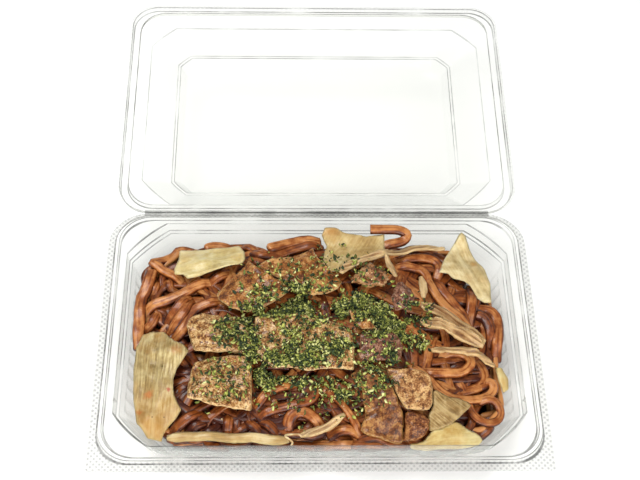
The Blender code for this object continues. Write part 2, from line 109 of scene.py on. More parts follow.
def add_node(tree: bpy.types.NodeTree, kind: str, feeds: Feeds = (),
        stops: Sequence[tuple[float, str]] = (), **settings: Any) -> bpy.types.Node:
    """Adds one node with its settings and links.

    Args:
        tree: The shader or geometry tree.
        kind: The node's type name; the short name of a shader node will do.
        feeds: Values, sockets or nodes for the inputs, by name or in order.
        stops: Places and hex colours of a colour ramp.
        settings: The node's own properties.
    Returns:
        The new node.
    """
    node = tree.nodes.new(kind if "Node" in kind else "ShaderNode" + kind)
    for key, value in settings.items():
        setattr(node, key, value)
    for key, value in feeds.items() if isinstance(feeds, dict) else enumerate(feeds):
        socket = node.inputs[key]
        if isinstance(value, bpy.types.Node):
            value = value.outputs[0]
        if isinstance(value, bpy.types.NodeSocket):
            tree.links.new(value, socket)
        else:
            socket.default_value = value
    if stops:
        elements = node.color_ramp.elements
        elements[0].position, elements[0].color = stops[0][0], linear(stops[0][1])
        elements[-1].position, elements[-1].color = stops[-1][0], linear(stops[-1][1])
        for place, code in stops[1:-1]:
            elements.new(place).color = linear(code)
    return node


def blank_material(name: str) -> tuple[bpy.types.Material, Callable[..., bpy.types.Node]]:
    """A material without nodes.

    Args:
        name: The material's name.
    Returns:
        The material, and the helper that adds a node to it.
    """
    mat = bpy.data.materials.new(name)
    mat.use_nodes = True
    mat.node_tree.nodes.clear()
    return mat, partial(add_node, mat.node_tree)


def make_object(name: str, verts: np.ndarray, faces: Sequence[Sequence[int]],
        material: Optional[bpy.types.Material] = None, values: Optional[dict[str, np.ndarray]] = None,
        edges: Sequence[tuple[int, int]] = ()) -> bpy.types.Object:
    """Links a smooth mesh object at the origin.

    Args:
        name: The object's name.
        verts: Points in millimetres.
        faces: Corner numbers of each face.
        material: Its only material.
        values: Point attributes, one number or three for each point.
        edges: Loose edges, for a mesh without faces.
    Returns:
        The object.
    """
    mesh = bpy.data.meshes.new(name)
    mesh.from_pydata((np.asarray(verts, float) * MM).tolist(), list(edges),
        [tuple(int(k) for k in face) for face in faces])
    for key, data in (values or {}).items():
        data = np.asarray(data, np.float32)
        kind, slot = ("FLOAT", "value") if data.ndim == 1 else ("FLOAT_VECTOR", "vector")
        mesh.attributes.new(key, kind, "POINT").data.foreach_set(slot, data.ravel())
    if len(faces):
        mesh.polygons.foreach_set("use_smooth", [True] * len(mesh.polygons))
    mesh.update()
    if material:
        mesh.materials.append(material)
    obj = bpy.data.objects.new(name, mesh)
    bpy.context.scene.collection.objects.link(obj)
    return obj


def finish_piece(obj: bpy.types.Object, body: Body, slot: Slot, *nodes: str) -> bpy.types.Object:
    """Hands one finished piece to the frame and reports it.

    Args:
        obj: The piece, at the origin.
        body: The body that carries it.
        slot: The record's slot for its finish; not used.
        nodes: CAD nodes that it stands for.
    Returns:
        The same piece.
    """
    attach(obj, body.value)
    if nodes:
        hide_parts(*nodes)
    LOG.info("%s: %d faces on %s", obj.name, len(obj.data.polygons), body.value)
    return obj


def smoothstep(low: float, high: float, x: np.ndarray) -> np.ndarray:
    """Eases from 0 at low to 1 at high."""
    t = np.clip((np.asarray(x, float) - low) / (high - low), 0.0, 1.0)
    return t * t * (3.0 - 2.0 * t)


def ripple(points: np.ndarray, size: float, seed: float = 0.0) -> np.ndarray:
    """Smooth noise from -1 to 1 with features of a given size.

    Args:
        points: Places in millimetres, with two or three numbers each.
        size: Width of one swell in millimetres.
        seed: Picks another stretch of the same noise.
    Returns:
        One value for each point.
    """
    deep = np.zeros((len(points), 3))
    deep[:, :points.shape[1]] = points / size
    deep[:, 2] += seed
    return np.array([noise.noise(Vector(p)) for p in deep])


def sideways(path: np.ndarray) -> np.ndarray:
    """Steps of length 1 to the left of a path, at each of its points."""
    run = np.gradient(path, axis=0)
    run /= np.maximum(np.linalg.norm(run, axis=1, keepdims=True), 1e-9)
    return np.column_stack([-run[:, 1], run[:, 0]])


def spline(points: Sequence[Sequence[float]], step: float, closed: bool = False,
        bend: float = 1.0) -> np.ndarray:
    """Evenly spaced points on a smooth curve through the given ones.

    Args:
        points: The places it passes.
        step: Spacing of the result.
        closed: True for a loop.
        bend: 0 for straight runs, 1 for a full curve.
    Returns:
        The points as rows.
    """
    pts = np.asarray(points, float)
    count = len(pts)
    spans = count if closed else count - 1
    ts = np.linspace(0.0, 1.0, 12, endpoint=False)[:, None]
    dense = []
    for k in range(spans):
        p1, p2 = pts[k], pts[(k + 1) % count]
        p0 = pts[k - 1] if closed or k > 0 else p1
        p3 = pts[(k + 2) % count] if closed or k < count - 2 else p2
        curve = 0.5 * (2 * p1 + (p2 - p0) * ts + (2 * p0 - 5 * p1 + 4 * p2 - p3) * ts ** 2
            + (3 * p1 - p0 - 3 * p2 + p3) * ts ** 3)
        dense.append((p1 + (p2 - p1) * ts) * (1.0 - bend) + curve * bend)
    line = np.vstack(dense + [pts[:1] if closed else pts[-1:]])
    run = np.concatenate([[0.0], np.cumsum(np.linalg.norm(np.diff(line, axis=0), axis=1))])
    parts = max(int(round(run[-1] / step)), 3)
    want = np.linspace(0.0, run[-1], parts + 1)
    out = np.stack([np.interp(want, run, line[:, k]) for k in range(line.shape[1])], axis=1)
    return out[:-1] if closed else out


# -------------------------------------------------------------------- finishes


@dataclass(frozen=True)
class ClearSheet:
    """Oriented polystyrene sheet, vacuum formed: clear, thin and hard.

    It shows mostly what is behind it.  Where it turns edge-on it mirrors the
    room and passes less light.  Along its folds a painted grey shade is drawn as soft lines.
    """

    name: str = "clear_polystyrene"
    through: str = "#FDFDFC"        # one face seen straight on
    edge_on: str = "#EBEDEA"        # one face seen along the sheet
    gloss: str = "#F2F3F1"
    roughness: float = 0.09
    ior: float = 1.59
    edge_power: float = 3.4         # how narrow the grey edge of a fold is
    least_mirror: float = 0.035
    most_mirror: float = 0.42
    knurl_pitch: float = 1.8        # diamond grip pattern, drawn coarse enough to show
    knurl_shade: float = 0.2
    knurl_base: float = 0.35        # the patterned area is a little grey all over
    fold_shade: float = 0.5         # painted shade drawn along a fold, at one face

    def build(self) -> bpy.types.Material:
        """Makes the material."""
        mat, add = blank_material(self.name)
        place = add("TexCoord").outputs["Object"]
        waves = []
        for turn in (45.0, -45.0):
            turned = add("Mapping", {"Vector": place, "Rotation": (0.0, 0.0, math.radians(turn))})
            waves.append(add("TexWave",
                {"Vector": turned, "Scale": math.pi / (10.0 * self.knurl_pitch * MM)}))
        crossed = add("Math", (waves[0].outputs["Fac"], waves[1].outputs["Fac"], self.knurl_base),
            operation="MULTIPLY_ADD")
        grip = add("Attribute", attribute_name="knurl")
        height = add("Math", (crossed, grip.outputs["Fac"]), operation="MULTIPLY")
        bump = add("Bump", {"Height": height, "Strength": 0.5, "Distance": 0.25 * MM})
        facing = add("LayerWeight", {"Blend": 0.5, "Normal": bump})
        steep = add("Math", (facing.outputs["Facing"], self.edge_power), operation="POWER")
        tint = add("Mix", {"Factor": steep, "A": linear(self.through), "B": linear(self.edge_on)},
            data_type="RGBA")
        # Painted shade: the fold attribute draws uneven grey lines along the folds
        fold = add("Attribute", attribute_name="fold")
        uneven = add("TexNoise", {"Vector": place, "Scale": 1.0 / (16.0 * MM), "Detail": 3.0})
        level = add("MapRange", {"Value": uneven, "From Min": 0.35, "From Max": 0.62, "To Min": 0.25})
        drawn = add("Math", (fold.outputs["Fac"], level), operation="MULTIPLY")
        painted_fold_shade = add("Math", (drawn, self.fold_shade), operation="MULTIPLY")
        shade = add("Math", (height, self.knurl_shade, painted_fold_shade), operation="MULTIPLY_ADD")
        lined = add("Mix", {"Factor": shade, "A": tint.outputs["Result"], "B": (0.0, 0.0, 0.0, 1.0)},
            data_type="RGBA")
        clear = add("BsdfTransparent", {"Color": lined.outputs["Result"]})
        shine = add("BsdfPrincipled", {"Base Color": linear(self.gloss), "Roughness": self.roughness,
            "IOR": self.ior, "Specular IOR Level": 0.9, "Normal": bump})
        mirror = add("MapRange", {"Value": steep, "To Min": self.least_mirror,
            "To Max": self.most_mirror})
        mixed = add("MixShader", (mirror, clear, shine))
        add("OutputMaterial", {"Surface": mixed})
        return mat


@dataclass(frozen=True)
class FriedNoodle:
    """Thick wheat noodle fried in dark sauce: browned, oily, faintly ribbed lengthwise."""

    name: str = "sauce_fried_noodle"
    dark: str = "#3D160A"
    middle: str = "#88471B"
    light: str = "#BE8048"
    roughness: float = 0.40
    oil: float = 0.3
    rib_pitch: float = 0.8
    rib_share: float = 0.55
    crease_pitch: float = 2.0       # long creases, darkened with painted shade
    painted_crease_shade: float = 0.4
    blotch: float = 4.5
    blotch_share: float = 1.1
    painted_side_shade: float = 0.55         # painted shade low on the sides
    tone_share: float = 0.34        # how far noodles differ from one another
    level: float = 0.63             # brings the sum of all shares into the ramp

    def build(self) -> bpy.types.Material:
        """Makes the material."""
        mat, add = blank_material(self.name)
        place = add("TexCoord").outputs["Object"]
        grain = add("Attribute", attribute_name="grain").outputs["Vector"]
        tone = add("Attribute", attribute_name="tone").outputs["Fac"]
        patch = add("TexNoise", {"Vector": place, "Scale": 1.0 / (self.blotch * MM), "Detail": 4.0,
            "Roughness": 0.62})
        along = add("Mapping", {"Vector": grain, "Scale": (0.12, 1.0, 1.0)})
        ribs = add("TexNoise", {"Vector": along, "Scale": 1.0 / (self.rib_pitch * MM), "Detail": 3.0,
            "Roughness": 0.6})
        streaks = add("Math", (ribs, self.rib_share), operation="MULTIPLY")
        mixed = add("Math", (patch, self.blotch_share, streaks), operation="MULTIPLY_ADD")
        slow = add("Mapping", {"Vector": grain, "Scale": (0.07, 1.0, 1.0)})
        folds = add("TexNoise", {"Vector": slow, "Scale": 1.0 / (self.crease_pitch * MM), "Detail": 1.0})
        # Painted shade in the long creases, which also set the bump
        crease = add("MapRange", {"Value": folds, "From Min": 0.32, "From Max": 0.46,
            "To Min": -self.painted_crease_shade, "To Max": 0.0})
        mixed = add("Math", (mixed, crease), operation="ADD")
        # Painted shade: faces that turn away from straight up are drawn darker
        face = add("NewGeometry").outputs["Normal"]
        upward = add("SeparateXYZ", {"Vector": face}).outputs["Z"]
        low = add("MapRange", {"Value": upward, "From Min": 0.0, "From Max": 0.85,
            "To Min": -self.painted_side_shade, "To Max": 0.0})
        mixed = add("Math", (mixed, low), operation="ADD")
        toned = add("Math", (tone, self.tone_share, mixed), operation="MULTIPLY_ADD")
        ramp = add("ValToRGB", (add("Math", (toned, self.level), operation="MULTIPLY"),),
            stops=((0.22, self.dark), (0.47, self.middle), (0.66, self.light)))
        relief = add("Math", (crease, 1.5, patch), operation="MULTIPLY_ADD")
        relief = add("Math", (ribs, 0.35, relief), operation="MULTIPLY_ADD")
        bump = add("Bump", {"Height": relief, "Strength": 0.6, "Distance": 0.5 * MM})
        shader = add("BsdfPrincipled", {"Base Color": ramp, "Roughness": self.roughness, "IOR": 1.45,
            "Coat Weight": self.oil, "Coat Roughness": 0.12, "Specular IOR Level": 0.25,
            "Subsurface Weight": 0.12, "Subsurface Radius": (2.4, 1.0, 0.4), "Subsurface Scale": MM,
            "Normal": bump})
        add("OutputMaterial", {"Surface": shader})
        return mat


@dataclass(frozen=True)
class Stain:
    """A small spot of sauce or spice on a piece."""

    x: float
    y: float
    reach: float
    colour: str
    share: float = 0.8


@dataclass(frozen=True)
class SoftLeaf:
    """Cabbage leaf cooked soft: waxy, half see-through, with paler veins."""

    name: str = "cooked_cabbage_leaf"
    blade: str = "#C6B279"
    shade: str = "#AD965D"
    vein: str = "#D6C89A"
    sauce: str = "#B48447"
    sauce_share: float = 0.35
    end_sauce: float = 0.0          # how far the low end is stained
    vein_share: float = 0.4
    edge_share: float = 0.35        # the thin edge looks paler
    fibre_pitch: float = 0.9
    fibre_share: float = 0.4
    stains: tuple[Stain, ...] = ()
    roughness: float = 0.46

    def build(self) -> bpy.types.Material:
        """Makes the material."""
        mat, add = blank_material(self.name)
        place = add("TexCoord").outputs["Object"]
        grain = add("Attribute", attribute_name="grain").outputs["Vector"]
        ridge = add("Attribute", attribute_name="vein").outputs["Fac"]
        uneven = add("TexNoise", {"Vector": place, "Scale": 1.0 / (1.8 * MM), "Detail": 2.0})
        cloud = add("TexNoise", {"Vector": place, "Scale": 1.0 / (9.0 * MM), "Detail": 5.0,
            "Roughness": 0.65})
        stretched = add("Mapping", {"Vector": grain, "Scale": (0.09, 1.0, 1.0)})
        fibre = add("TexNoise", {"Vector": stretched, "Scale": 1.0 / (self.fibre_pitch * MM),
            "Detail": 4.0, "Roughness": 0.6})
        share = add("Math", (fibre, self.fibre_share, cloud), operation="MULTIPLY_ADD")
        body = add("ValToRGB",
            (add("Math", (share, 1.0 / (1.0 + self.fibre_share)), operation="MULTIPLY"),),
            stops=((0.4, self.shade), (0.5, self.blade), (0.6, self.vein)))
        stain = add("TexNoise", {"Vector": place, "Scale": 1.0 / (13.0 * MM), "Detail": 3.0})
        level = add("MapRange", {"Value": stain, "From Min": 0.55, "From Max": 0.75,
            "To Max": self.sauce_share})
        run = add("SeparateXYZ", {"Vector": grain}).outputs["X"]
        ended = add("MapRange", {"Value": run, "From Min": 2.0 * MM, "From Max": -24.0 * MM,
            "To Max": self.end_sauce})
        level = add("Math", (level, ended), operation="MAXIMUM")
        stained = add("Mix", {"Factor": level, "A": body, "B": linear(self.sauce)}, data_type="RGBA")
        rim = add("Attribute", attribute_name="rim").outputs["Fac"]
        thin = add("Math", (rim, self.edge_share), operation="MULTIPLY")
        paler = add("Math", (ridge, self.vein_share, thin), operation="MULTIPLY_ADD")
        veined = add("Mix", {"Factor": paler, "A": stained.outputs["Result"], "B": linear(self.vein)},
            data_type="RGBA")
        colour = veined.outputs["Result"]
        for spot in self.stains:
            middle = (spot.x * MM, spot.y * MM, 0.0)
            flat = add("VectorMath", (place, (1.0, 1.0, 0.0)), operation="MULTIPLY")
            gone = add("VectorMath", (flat, middle), operation="DISTANCE")
            frayed = add("Math", (uneven, spot.reach * MM, gone.outputs["Value"]),
                operation="MULTIPLY_ADD")
            share_here = add("MapRange", {"Value": frayed, "From Min": 1.3 * spot.reach * MM,
                "From Max": 0.8 * spot.reach * MM, "To Max": spot.share})
            colour = add("Mix", {"Factor": share_here, "A": colour, "B": linear(spot.colour)},
                data_type="RGBA").outputs["Result"]
        bump = add("Bump", {"Height": share, "Strength": 0.6, "Distance": 0.8 * MM})
        shader = add("BsdfPrincipled", {"Base Color": colour, "Roughness": self.roughness, "IOR": 1.42,
            "Coat Weight": 0.15, "Coat Roughness": 0.14, "Specular IOR Level": 0.25,
            "Subsurface Weight": 0.25, "Subsurface Radius": (2.5, 2.0, 0.9), "Subsurface Scale": MM,
            "Normal": bump})
        add("OutputMaterial", {"Surface": shader})
        return mat


@dataclass(frozen=True)
class FriedPork:
    """Thin sliced pork, browned: grainy, mottled, with a paler fatty rim."""

    name: str = "browned_pork"
    burnt: str = "#53280C"
    lean: str = "#9B5E27"
    fat: str = "#C9995C"
    crisp: str = "#CFAF7D"          # the thin edge
    grain_size: float = 0.9
    grain_share: float = 0.55
    patch_size: float = 5.0
    spot_share: float = 0.55
    roughness: float = 0.42

    def build(self) -> bpy.types.Material:
        """Makes the material."""
        mat, add = blank_material(self.name)
        place = add("TexCoord").outputs["Object"]
        rim = add("Attribute", attribute_name="rim").outputs["Fac"]
        cloud = add("TexNoise", {"Vector": place, "Scale": 1.0 / (self.patch_size * MM), "Detail": 4.0,
            "Roughness": 0.6})
        cells = add("TexVoronoi", {"Vector": place, "Scale": 1.0 / (self.grain_size * MM)})
        speck = add("TexNoise", {"Vector": place, "Scale": 1.0 / (0.8 * self.grain_size * MM),
            "Detail": 3.0, "Roughness": 0.7})
        mixed = add("Math", (speck, self.grain_share, cloud), operation="MULTIPLY_ADD")
        pitted = add("Math", (cells.outputs["Distance"], -0.12, mixed), operation="MULTIPLY_ADD")
        edged = add("Math", (rim, 0.10, pitted), operation="MULTIPLY_ADD")
        ramp = add("ValToRGB",
            (add("Math", (edged, 1.0 / (1.0 + self.grain_share)), operation="MULTIPLY"),),
            stops=((0.37, self.burnt), (0.46, self.lean), (0.56, self.fat)))
        spots = add("TexNoise", {"Vector": place, "Scale": 1.0 / (1.7 * self.grain_size * MM),
            "Detail": 2.0})
        share = add("MapRange", {"Value": spots, "From Min": 0.57, "From Max": 0.66,
            "To Max": self.spot_share})
        spotted = add("Mix", {"Factor": share, "A": ramp, "B": linear(self.burnt)}, data_type="RGBA")
        thin = add("MapRange", {"Value": rim, "From Min": 0.72, "From Max": 0.95, "To Max": 0.8})
        spotted = add("Mix", {"Factor": thin, "A": spotted.outputs["Result"], "B": linear(self.crisp)},
            data_type="RGBA")
        bump = add("Bump", {"Height": pitted, "Strength": 0.8, "Distance": 0.8 * MM})
        shader = add("BsdfPrincipled", {"Base Color": spotted.outputs["Result"],
            "Roughness": self.roughness, "IOR": 1.45, "Coat Weight": 0.35, "Coat Roughness": 0.13,
            "Specular IOR Level": 0.25, "Subsurface Weight": 0.1, "Subsurface Radius": (2.0, 1.0, 0.5),
            "Subsurface Scale": MM, "Normal": bump})
        add("OutputMaterial", {"Surface": shader})
        return mat


@dataclass(frozen=True)
class DryFlake:
    """Dried green laver or a crumb: matt, each bit its own shade."""

    name: str
    stops: tuple[tuple[float, str], ...]
    roughness: float = 0.7
    fleck_share: float = 0.3

    def build(self) -> bpy.types.Material:
        """Makes the material."""
        mat, add = blank_material(self.name)
        tone = add("Attribute", attribute_name="tone").outputs["Fac"]
        place = add("TexCoord").outputs["Object"]
        fleck = add("TexNoise", {"Vector": place, "Scale": 1.0 / (0.9 * MM), "Detail": 2.0})
        mixed = add("Math", (fleck, self.fleck_share, tone), operation="MULTIPLY_ADD")
        ramp = add("ValToRGB",
            (add("Math", (mixed, 1.0 / (1.0 + self.fleck_share)), operation="MULTIPLY"),),
            stops=self.stops)
        shader = add("BsdfPrincipled", {"Base Color": ramp, "Roughness": self.roughness, "IOR": 1.45})
        add("OutputMaterial", {"Surface": shader})
        return mat


@dataclass(frozen=True)
class StudioPaper:
    """Matt white paper sweep under the pack."""

    name: str = "white_paper"
    colour: str = "#F7F7F5"

    def build(self) -> bpy.types.Material:
        """Makes the material."""
        mat, add = blank_material(self.name)
        shader = add("BsdfPrincipled", {"Base Color": linear(self.colour), "Roughness": 0.9,
            "Specular IOR Level": 0.0})
        add("OutputMaterial", {"Surface": shader})
        return mat


# ----------------------------------------------------------------- the studio


@dataclass(frozen=True)
class Softbox:
    """One square studio light."""

    name: str
    place: tuple[float, float, float]
    size: float
    power: float


@dataclass
class Studio:
    """White paper, soft light and the camera."""

    camera_place: tuple[float, float, float] = (-15.3, -294.3, 503.9)
    pitch: float = 54.0
    yaw: float = 2.71
    roll: float = 2.27
    lens: float = 69.0
    floor_half: float = 3000.0
    floor_gap: float = 0.3
    sky: str = "#E9ECEF"
    sky_strength: float = 0.355
    lights: tuple[Softbox, ...] = (
        Softbox("key", (-320.0, 220.0, 760.0), 420.0, 4.8),
        Softbox("fill", (420.0, -420.0, 620.0), 600.0, 3.4),
        Softbox("front", (-60.0, -760.0, 330.0), 520.0, 6.2),
    )
    aim: tuple[float, float, float] = (0.0, 20.0, 20.0)

    def build(self) -> None:
        """Makes the floor, the lights and the camera."""
        half = self.floor_half
        corners = [(-half, -half), (half, -half), (half, half), (-half, half)]
        floor = make_object("paper_floor", np.array([(x, y, -self.floor_gap) for x, y in corners]),
            [(0, 1, 2, 3)], StudioPaper().build())
        self.build_sky()
        for light in self.lights:
            self.build_light(light)
        self.build_camera()

    def build_sky(self) -> None:
        """Even light from all round."""
        world = bpy.data.worlds.new("studio")
        world.use_nodes = True
        world.node_tree.nodes.clear()
        add = partial(add_node, world.node_tree)
        sky = add("Background", {"Color": linear(self.sky), "Strength": self.sky_strength})
        add("OutputWorld", {"Surface": sky})
        bpy.context.scene.world = world
        bpy.context.scene.view_settings.view_transform = "Standard"

    def build_light(self, light: Softbox) -> None:
        """Hangs one softbox that faces the food."""
        lamp = bpy.data.lights.new(light.name, "AREA")
        lamp.size = light.size * MM
        lamp.energy = light.power
        obj = bpy.data.objects.new(light.name, lamp)
        place = Vector(light.place) * MM
        away = place - Vector(self.aim) * MM
        obj.matrix_world = Matrix.Translation(place) @ away.to_track_quat("Z", "Y").to_matrix().to_4x4()
        bpy.context.scene.collection.objects.link(obj)

    def build_camera(self) -> None:
        """Looks down on the open pack from the front."""
        pitch, yaw, roll = (math.radians(a) for a in (self.pitch, self.yaw, self.roll))
        ahead = Vector((math.cos(pitch) * math.sin(yaw), math.cos(pitch) * math.cos(yaw),
            -math.sin(pitch)))
        level = Vector((math.cos(yaw), -math.sin(yaw), 0.0))
        upward = level.cross(ahead)
        right = level * math.cos(roll) + upward * math.sin(roll)
        top = upward * math.cos(roll) - level * math.sin(roll)
        data = bpy.data.cameras.new("camera")
        data.lens = self.lens
        data.clip_start, data.clip_end = 0.01, 20.0
        obj = bpy.data.objects.new("camera", data)
        turn = Matrix((right, top, -ahead)).transposed().to_4x4()
        obj.matrix_world = Matrix.Translation(Vector(self.camera_place) * MM) @ turn
        bpy.context.scene.collection.objects.link(obj)
        bpy.context.scene.camera = obj


# ------------------------------------------------------------------- the pack


@dataclass(frozen=True)
class Fold:
    """One fold line of a formed sheet, measured inwards from the flange's edge.

    near and far are the sides at the low and the high end of Y.  curve is 0
    for cut corners and 1 for round ones.  steps is how finely the sheet
    between this fold and the next is divided, and flute how deep the upright
    flutes are here.
    """

    side: float
    near: float
    far: float
    cut_near: float
    cut_far: float
    curve: float
    level: float
    steps: int = 1
    flute: float = 0.0
    grip: float = 0.0


@dataclass(frozen=True)
class Mark:
    """A small round dimple or button pressed into a sheet."""

    place: tuple[float, float, float]
    radius: float
    height: float
    flat: float = 0.0       # share of the radius that is flat


@dataclass
class FormedSheet:
    """A shallow box of thin sheet, lofted through its fold lines."""

    name: str
    half_x: float
    near_y: float
    far_y: float
    folds: tuple[Fold, ...]
    marks: tuple[Mark, ...] = ()
    thickness: float = 0.4
    bend_radius: float = 0.22
    line_fade: float = 0.14
    long_steps: int = 150
    short_steps: int = 104
    corner_steps: int = 14
    flute_pitch: float = 6.2
    flute_fade: float = 5.0
    panel_sag: float = 0.25
    place: Optional[Callable[[np.ndarray], np.ndarray]] = None

    def rows(self) -> np.ndarray:
        """The folds as numbers, softened where the sheet bends and divided between.

        Returns:
            One row for each ring: side, near, far, both cuts, curve, level, flute, grip
            and how much painted fold shade it carries.
        """
        raw = np.array([[f.side, f.near, f.far, f.cut_near, f.cut_far, f.curve, f.level, f.flute, f.grip,
            0.0] for f in self.folds])
        soft, steps = [raw[0]], []
        for k in range(1, len(raw) - 1):
            runs = [raw[k + s][[0, 6]] - raw[k][[0, 6]] for s in (-1, 1)]
            gaps = [float(np.linalg.norm(run)) for run in runs]
            turn = math.pi - math.acos(float(np.clip(runs[0] @ runs[1] / (gaps[0] * gaps[1]), -1.0,
                1.0)))
            line = min(turn / 1.2, 1.0)
            inner = [min(self.bend_radius / gap, 0.3) for gap in gaps]
            outer = [min((self.bend_radius + self.line_fade) / gap, 0.46) for gap in gaps]
            ways = (raw[k - 1] - raw[k], raw[k + 1] - raw[k])
            bend = [raw[k] + ways[0] * outer[0], raw[k] + ways[0] * inner[0],
                raw[k] + ways[1] * inner[1], raw[k] + ways[1] * outer[1]]
            # The two middle rows of a bend carry the painted fold shade
            bend[1][-1] = bend[2][-1] = line
            soft += bend
            steps += [self.folds[k - 1].steps, 1, 1, 1]
        soft.append(raw[-1])
        steps.append(self.folds[-2].steps)
        rows = []
        for k, count in enumerate(steps):
            rows += [soft[k] + (soft[k + 1] - soft[k]) * t / count for t in range(count)]
        rows.append(soft[-1])
        return np.array(rows)

    def ring(self, row: np.ndarray) -> tuple[np.ndarray, np.ndarray, np.ndarray]:
        """One ring in plan.

        Args:
            row: A row of rows().
        Returns:
            Its points, the outward direction at each, and each one's place along
            a straight side as (distance from the middle, distance to the end).
        """
        side, near, far, cut_near, cut_far, curve = row[:6]
        hx, y0, y1 = self.half_x - side, self.near_y + near, self.far_y - far
        corners = [(hx, y0, cut_near, -90.0), (hx, y1, cut_far, 0.0), (-hx, y1, cut_far, 90.0),
            (-hx, y0, cut_near, 180.0)]
        points, normals, along = [], [], []
        arcs = []
        for x, y, cut, start in corners:
            ox, oy = x - math.copysign(cut, x), y + (cut if y == y0 else -cut)
            angles = np.radians(start + 90.0 * np.linspace(0.0, 1.0, self.corner_steps + 1))
            arc = np.stack([ox + cut * np.cos(angles), oy + cut * np.sin(angles)], axis=1)
            t = np.linspace(0.0, 1.0, self.corner_steps + 1)[:, None]
            chord = arc[0] + (arc[-1] - arc[0]) * t
            arcs.append((chord + (arc - chord) * curve, np.stack([np.cos(angles), np.sin(angles)],
                axis=1)))
        for k in range(4):
            arc, turn = arcs[k]
            points.append(arc)
            normals.append(turn)
            along.append(np.zeros((len(arc), 2)))
            end, begin = arc[-1], arcs[(k + 1) % 4][0][0]
            steps = self.short_steps if k % 2 == 0 else self.long_steps
            t = np.linspace(0.0, 1.0, steps + 1)[1:-1, None]
            run = end + (begin - end) * t
            points.append(run)
            normals.append(np.tile(turn[-1], (len(run), 1)))
            axis = 1 if k % 2 == 0 else 0
            middle = 0.5 * (end[axis] + begin[axis])
            half = 0.5 * abs(begin[axis] - end[axis])
            offset = run[:, axis] - middle
            along.append(np.stack([offset, half - np.abs(offset)], axis=1))
        return np.vstack(points), np.vstack(normals), np.vstack(along)

    def build(self, material: bpy.types.Material) -> bpy.types.Object:
        """Makes the sheet with its flutes, marks and thickness.

        Args:
            material: The clear sheet.
        Returns:
            The closed thin solid.
        """
        rows = self.rows()
        grid, grips, lines = [], [], []
        for row in rows:
            plan, outward, along = self.ring(row)
            phase = (along[:, 0] / self.flute_pitch) % 1.0 * 2.0 - 1.0
            arch = np.sqrt(1.0 - phase ** 2) - 0.5
            fade = smoothstep(0.0, self.flute_fade, along[:, 1])
            plan = plan + outward * (row[7] * arch * fade)[:, None]
            grid.append(np.column_stack([plan, np.full(len(plan), row[6])]))
            grips.append(np.full(len(plan), row[8]))
            lines.append(np.full(len(plan), row[9]))
        centre = np.array([0.0, 0.5 * (self.near_y + self.far_y)])
        inner = grid[-1].copy()
        for share in (0.82, 0.6, 0.38, 0.16):
            ring = inner.copy()
            ring[:, :2] = centre + (inner[:, :2] - centre) * share
            ring[:, 2] += self.panel_sag * ripple(ring[:, :2], 34.0, self.half_x) * (1.0 - share)
            grid.append(ring)
            grips.append(np.zeros(len(ring)))
            lines.append(np.zeros(len(ring)))
        grid, grips = self.press_marks(np.array(grid)), np.array(grips)
        count, per = grid.shape[:2]
        verts = np.vstack([grid.reshape(-1, 3), [grid[-1].mean(axis=0)]])
        k = np.arange(per)
        j = (k + 1) % per
        faces = []
        for r in range(count - 1):
            faces += np.stack([r * per + k, r * per + j, (r + 1) * per + j, (r + 1) * per + k],
                axis=1).tolist()
        last = (count - 1) * per
        faces += [(last + a, last + b, count * per) for a, b in zip(k, j)]
        if self.place:
            verts = self.place(verts)
        # The fold values carry the painted shade along the fold lines
        obj = make_object(self.name, verts, faces, material, {"knurl": np.append(grips.ravel(), 0.0),
            "fold": np.append(np.ravel(lines), 0.0)})
        wall = obj.modifiers.new("thickness", "SOLIDIFY")
        wall.thickness = self.thickness * MM
        wall.offset = -1.0
        wall.use_even_offset = True
        wall.thickness_clamp = 1.0
        return obj

    def press_marks(self, grid: np.ndarray) -> np.ndarray:
        """Presses the dimples and buttons along the sheet's own normal.

        Args:
            grid: Rings of points.
        Returns:
            The rings with the marks in.
        """
        across = np.gradient(grid, axis=0)
        round_ring = np.roll(grid, -1, axis=1) - np.roll(grid, 1, axis=1)
        normal = np.cross(round_ring, across)
        normal /= np.maximum(np.linalg.norm(normal, axis=2, keepdims=True), 1e-9)
        out = grid.copy()
        for mark in self.marks:
            reach = np.linalg.norm(grid - np.array(mark.place), axis=2) / mark.radius
            share = 1.0 - smoothstep(mark.flat, 1.0, reach)
            out += normal * (mark.height * share)[..., None]
        return out


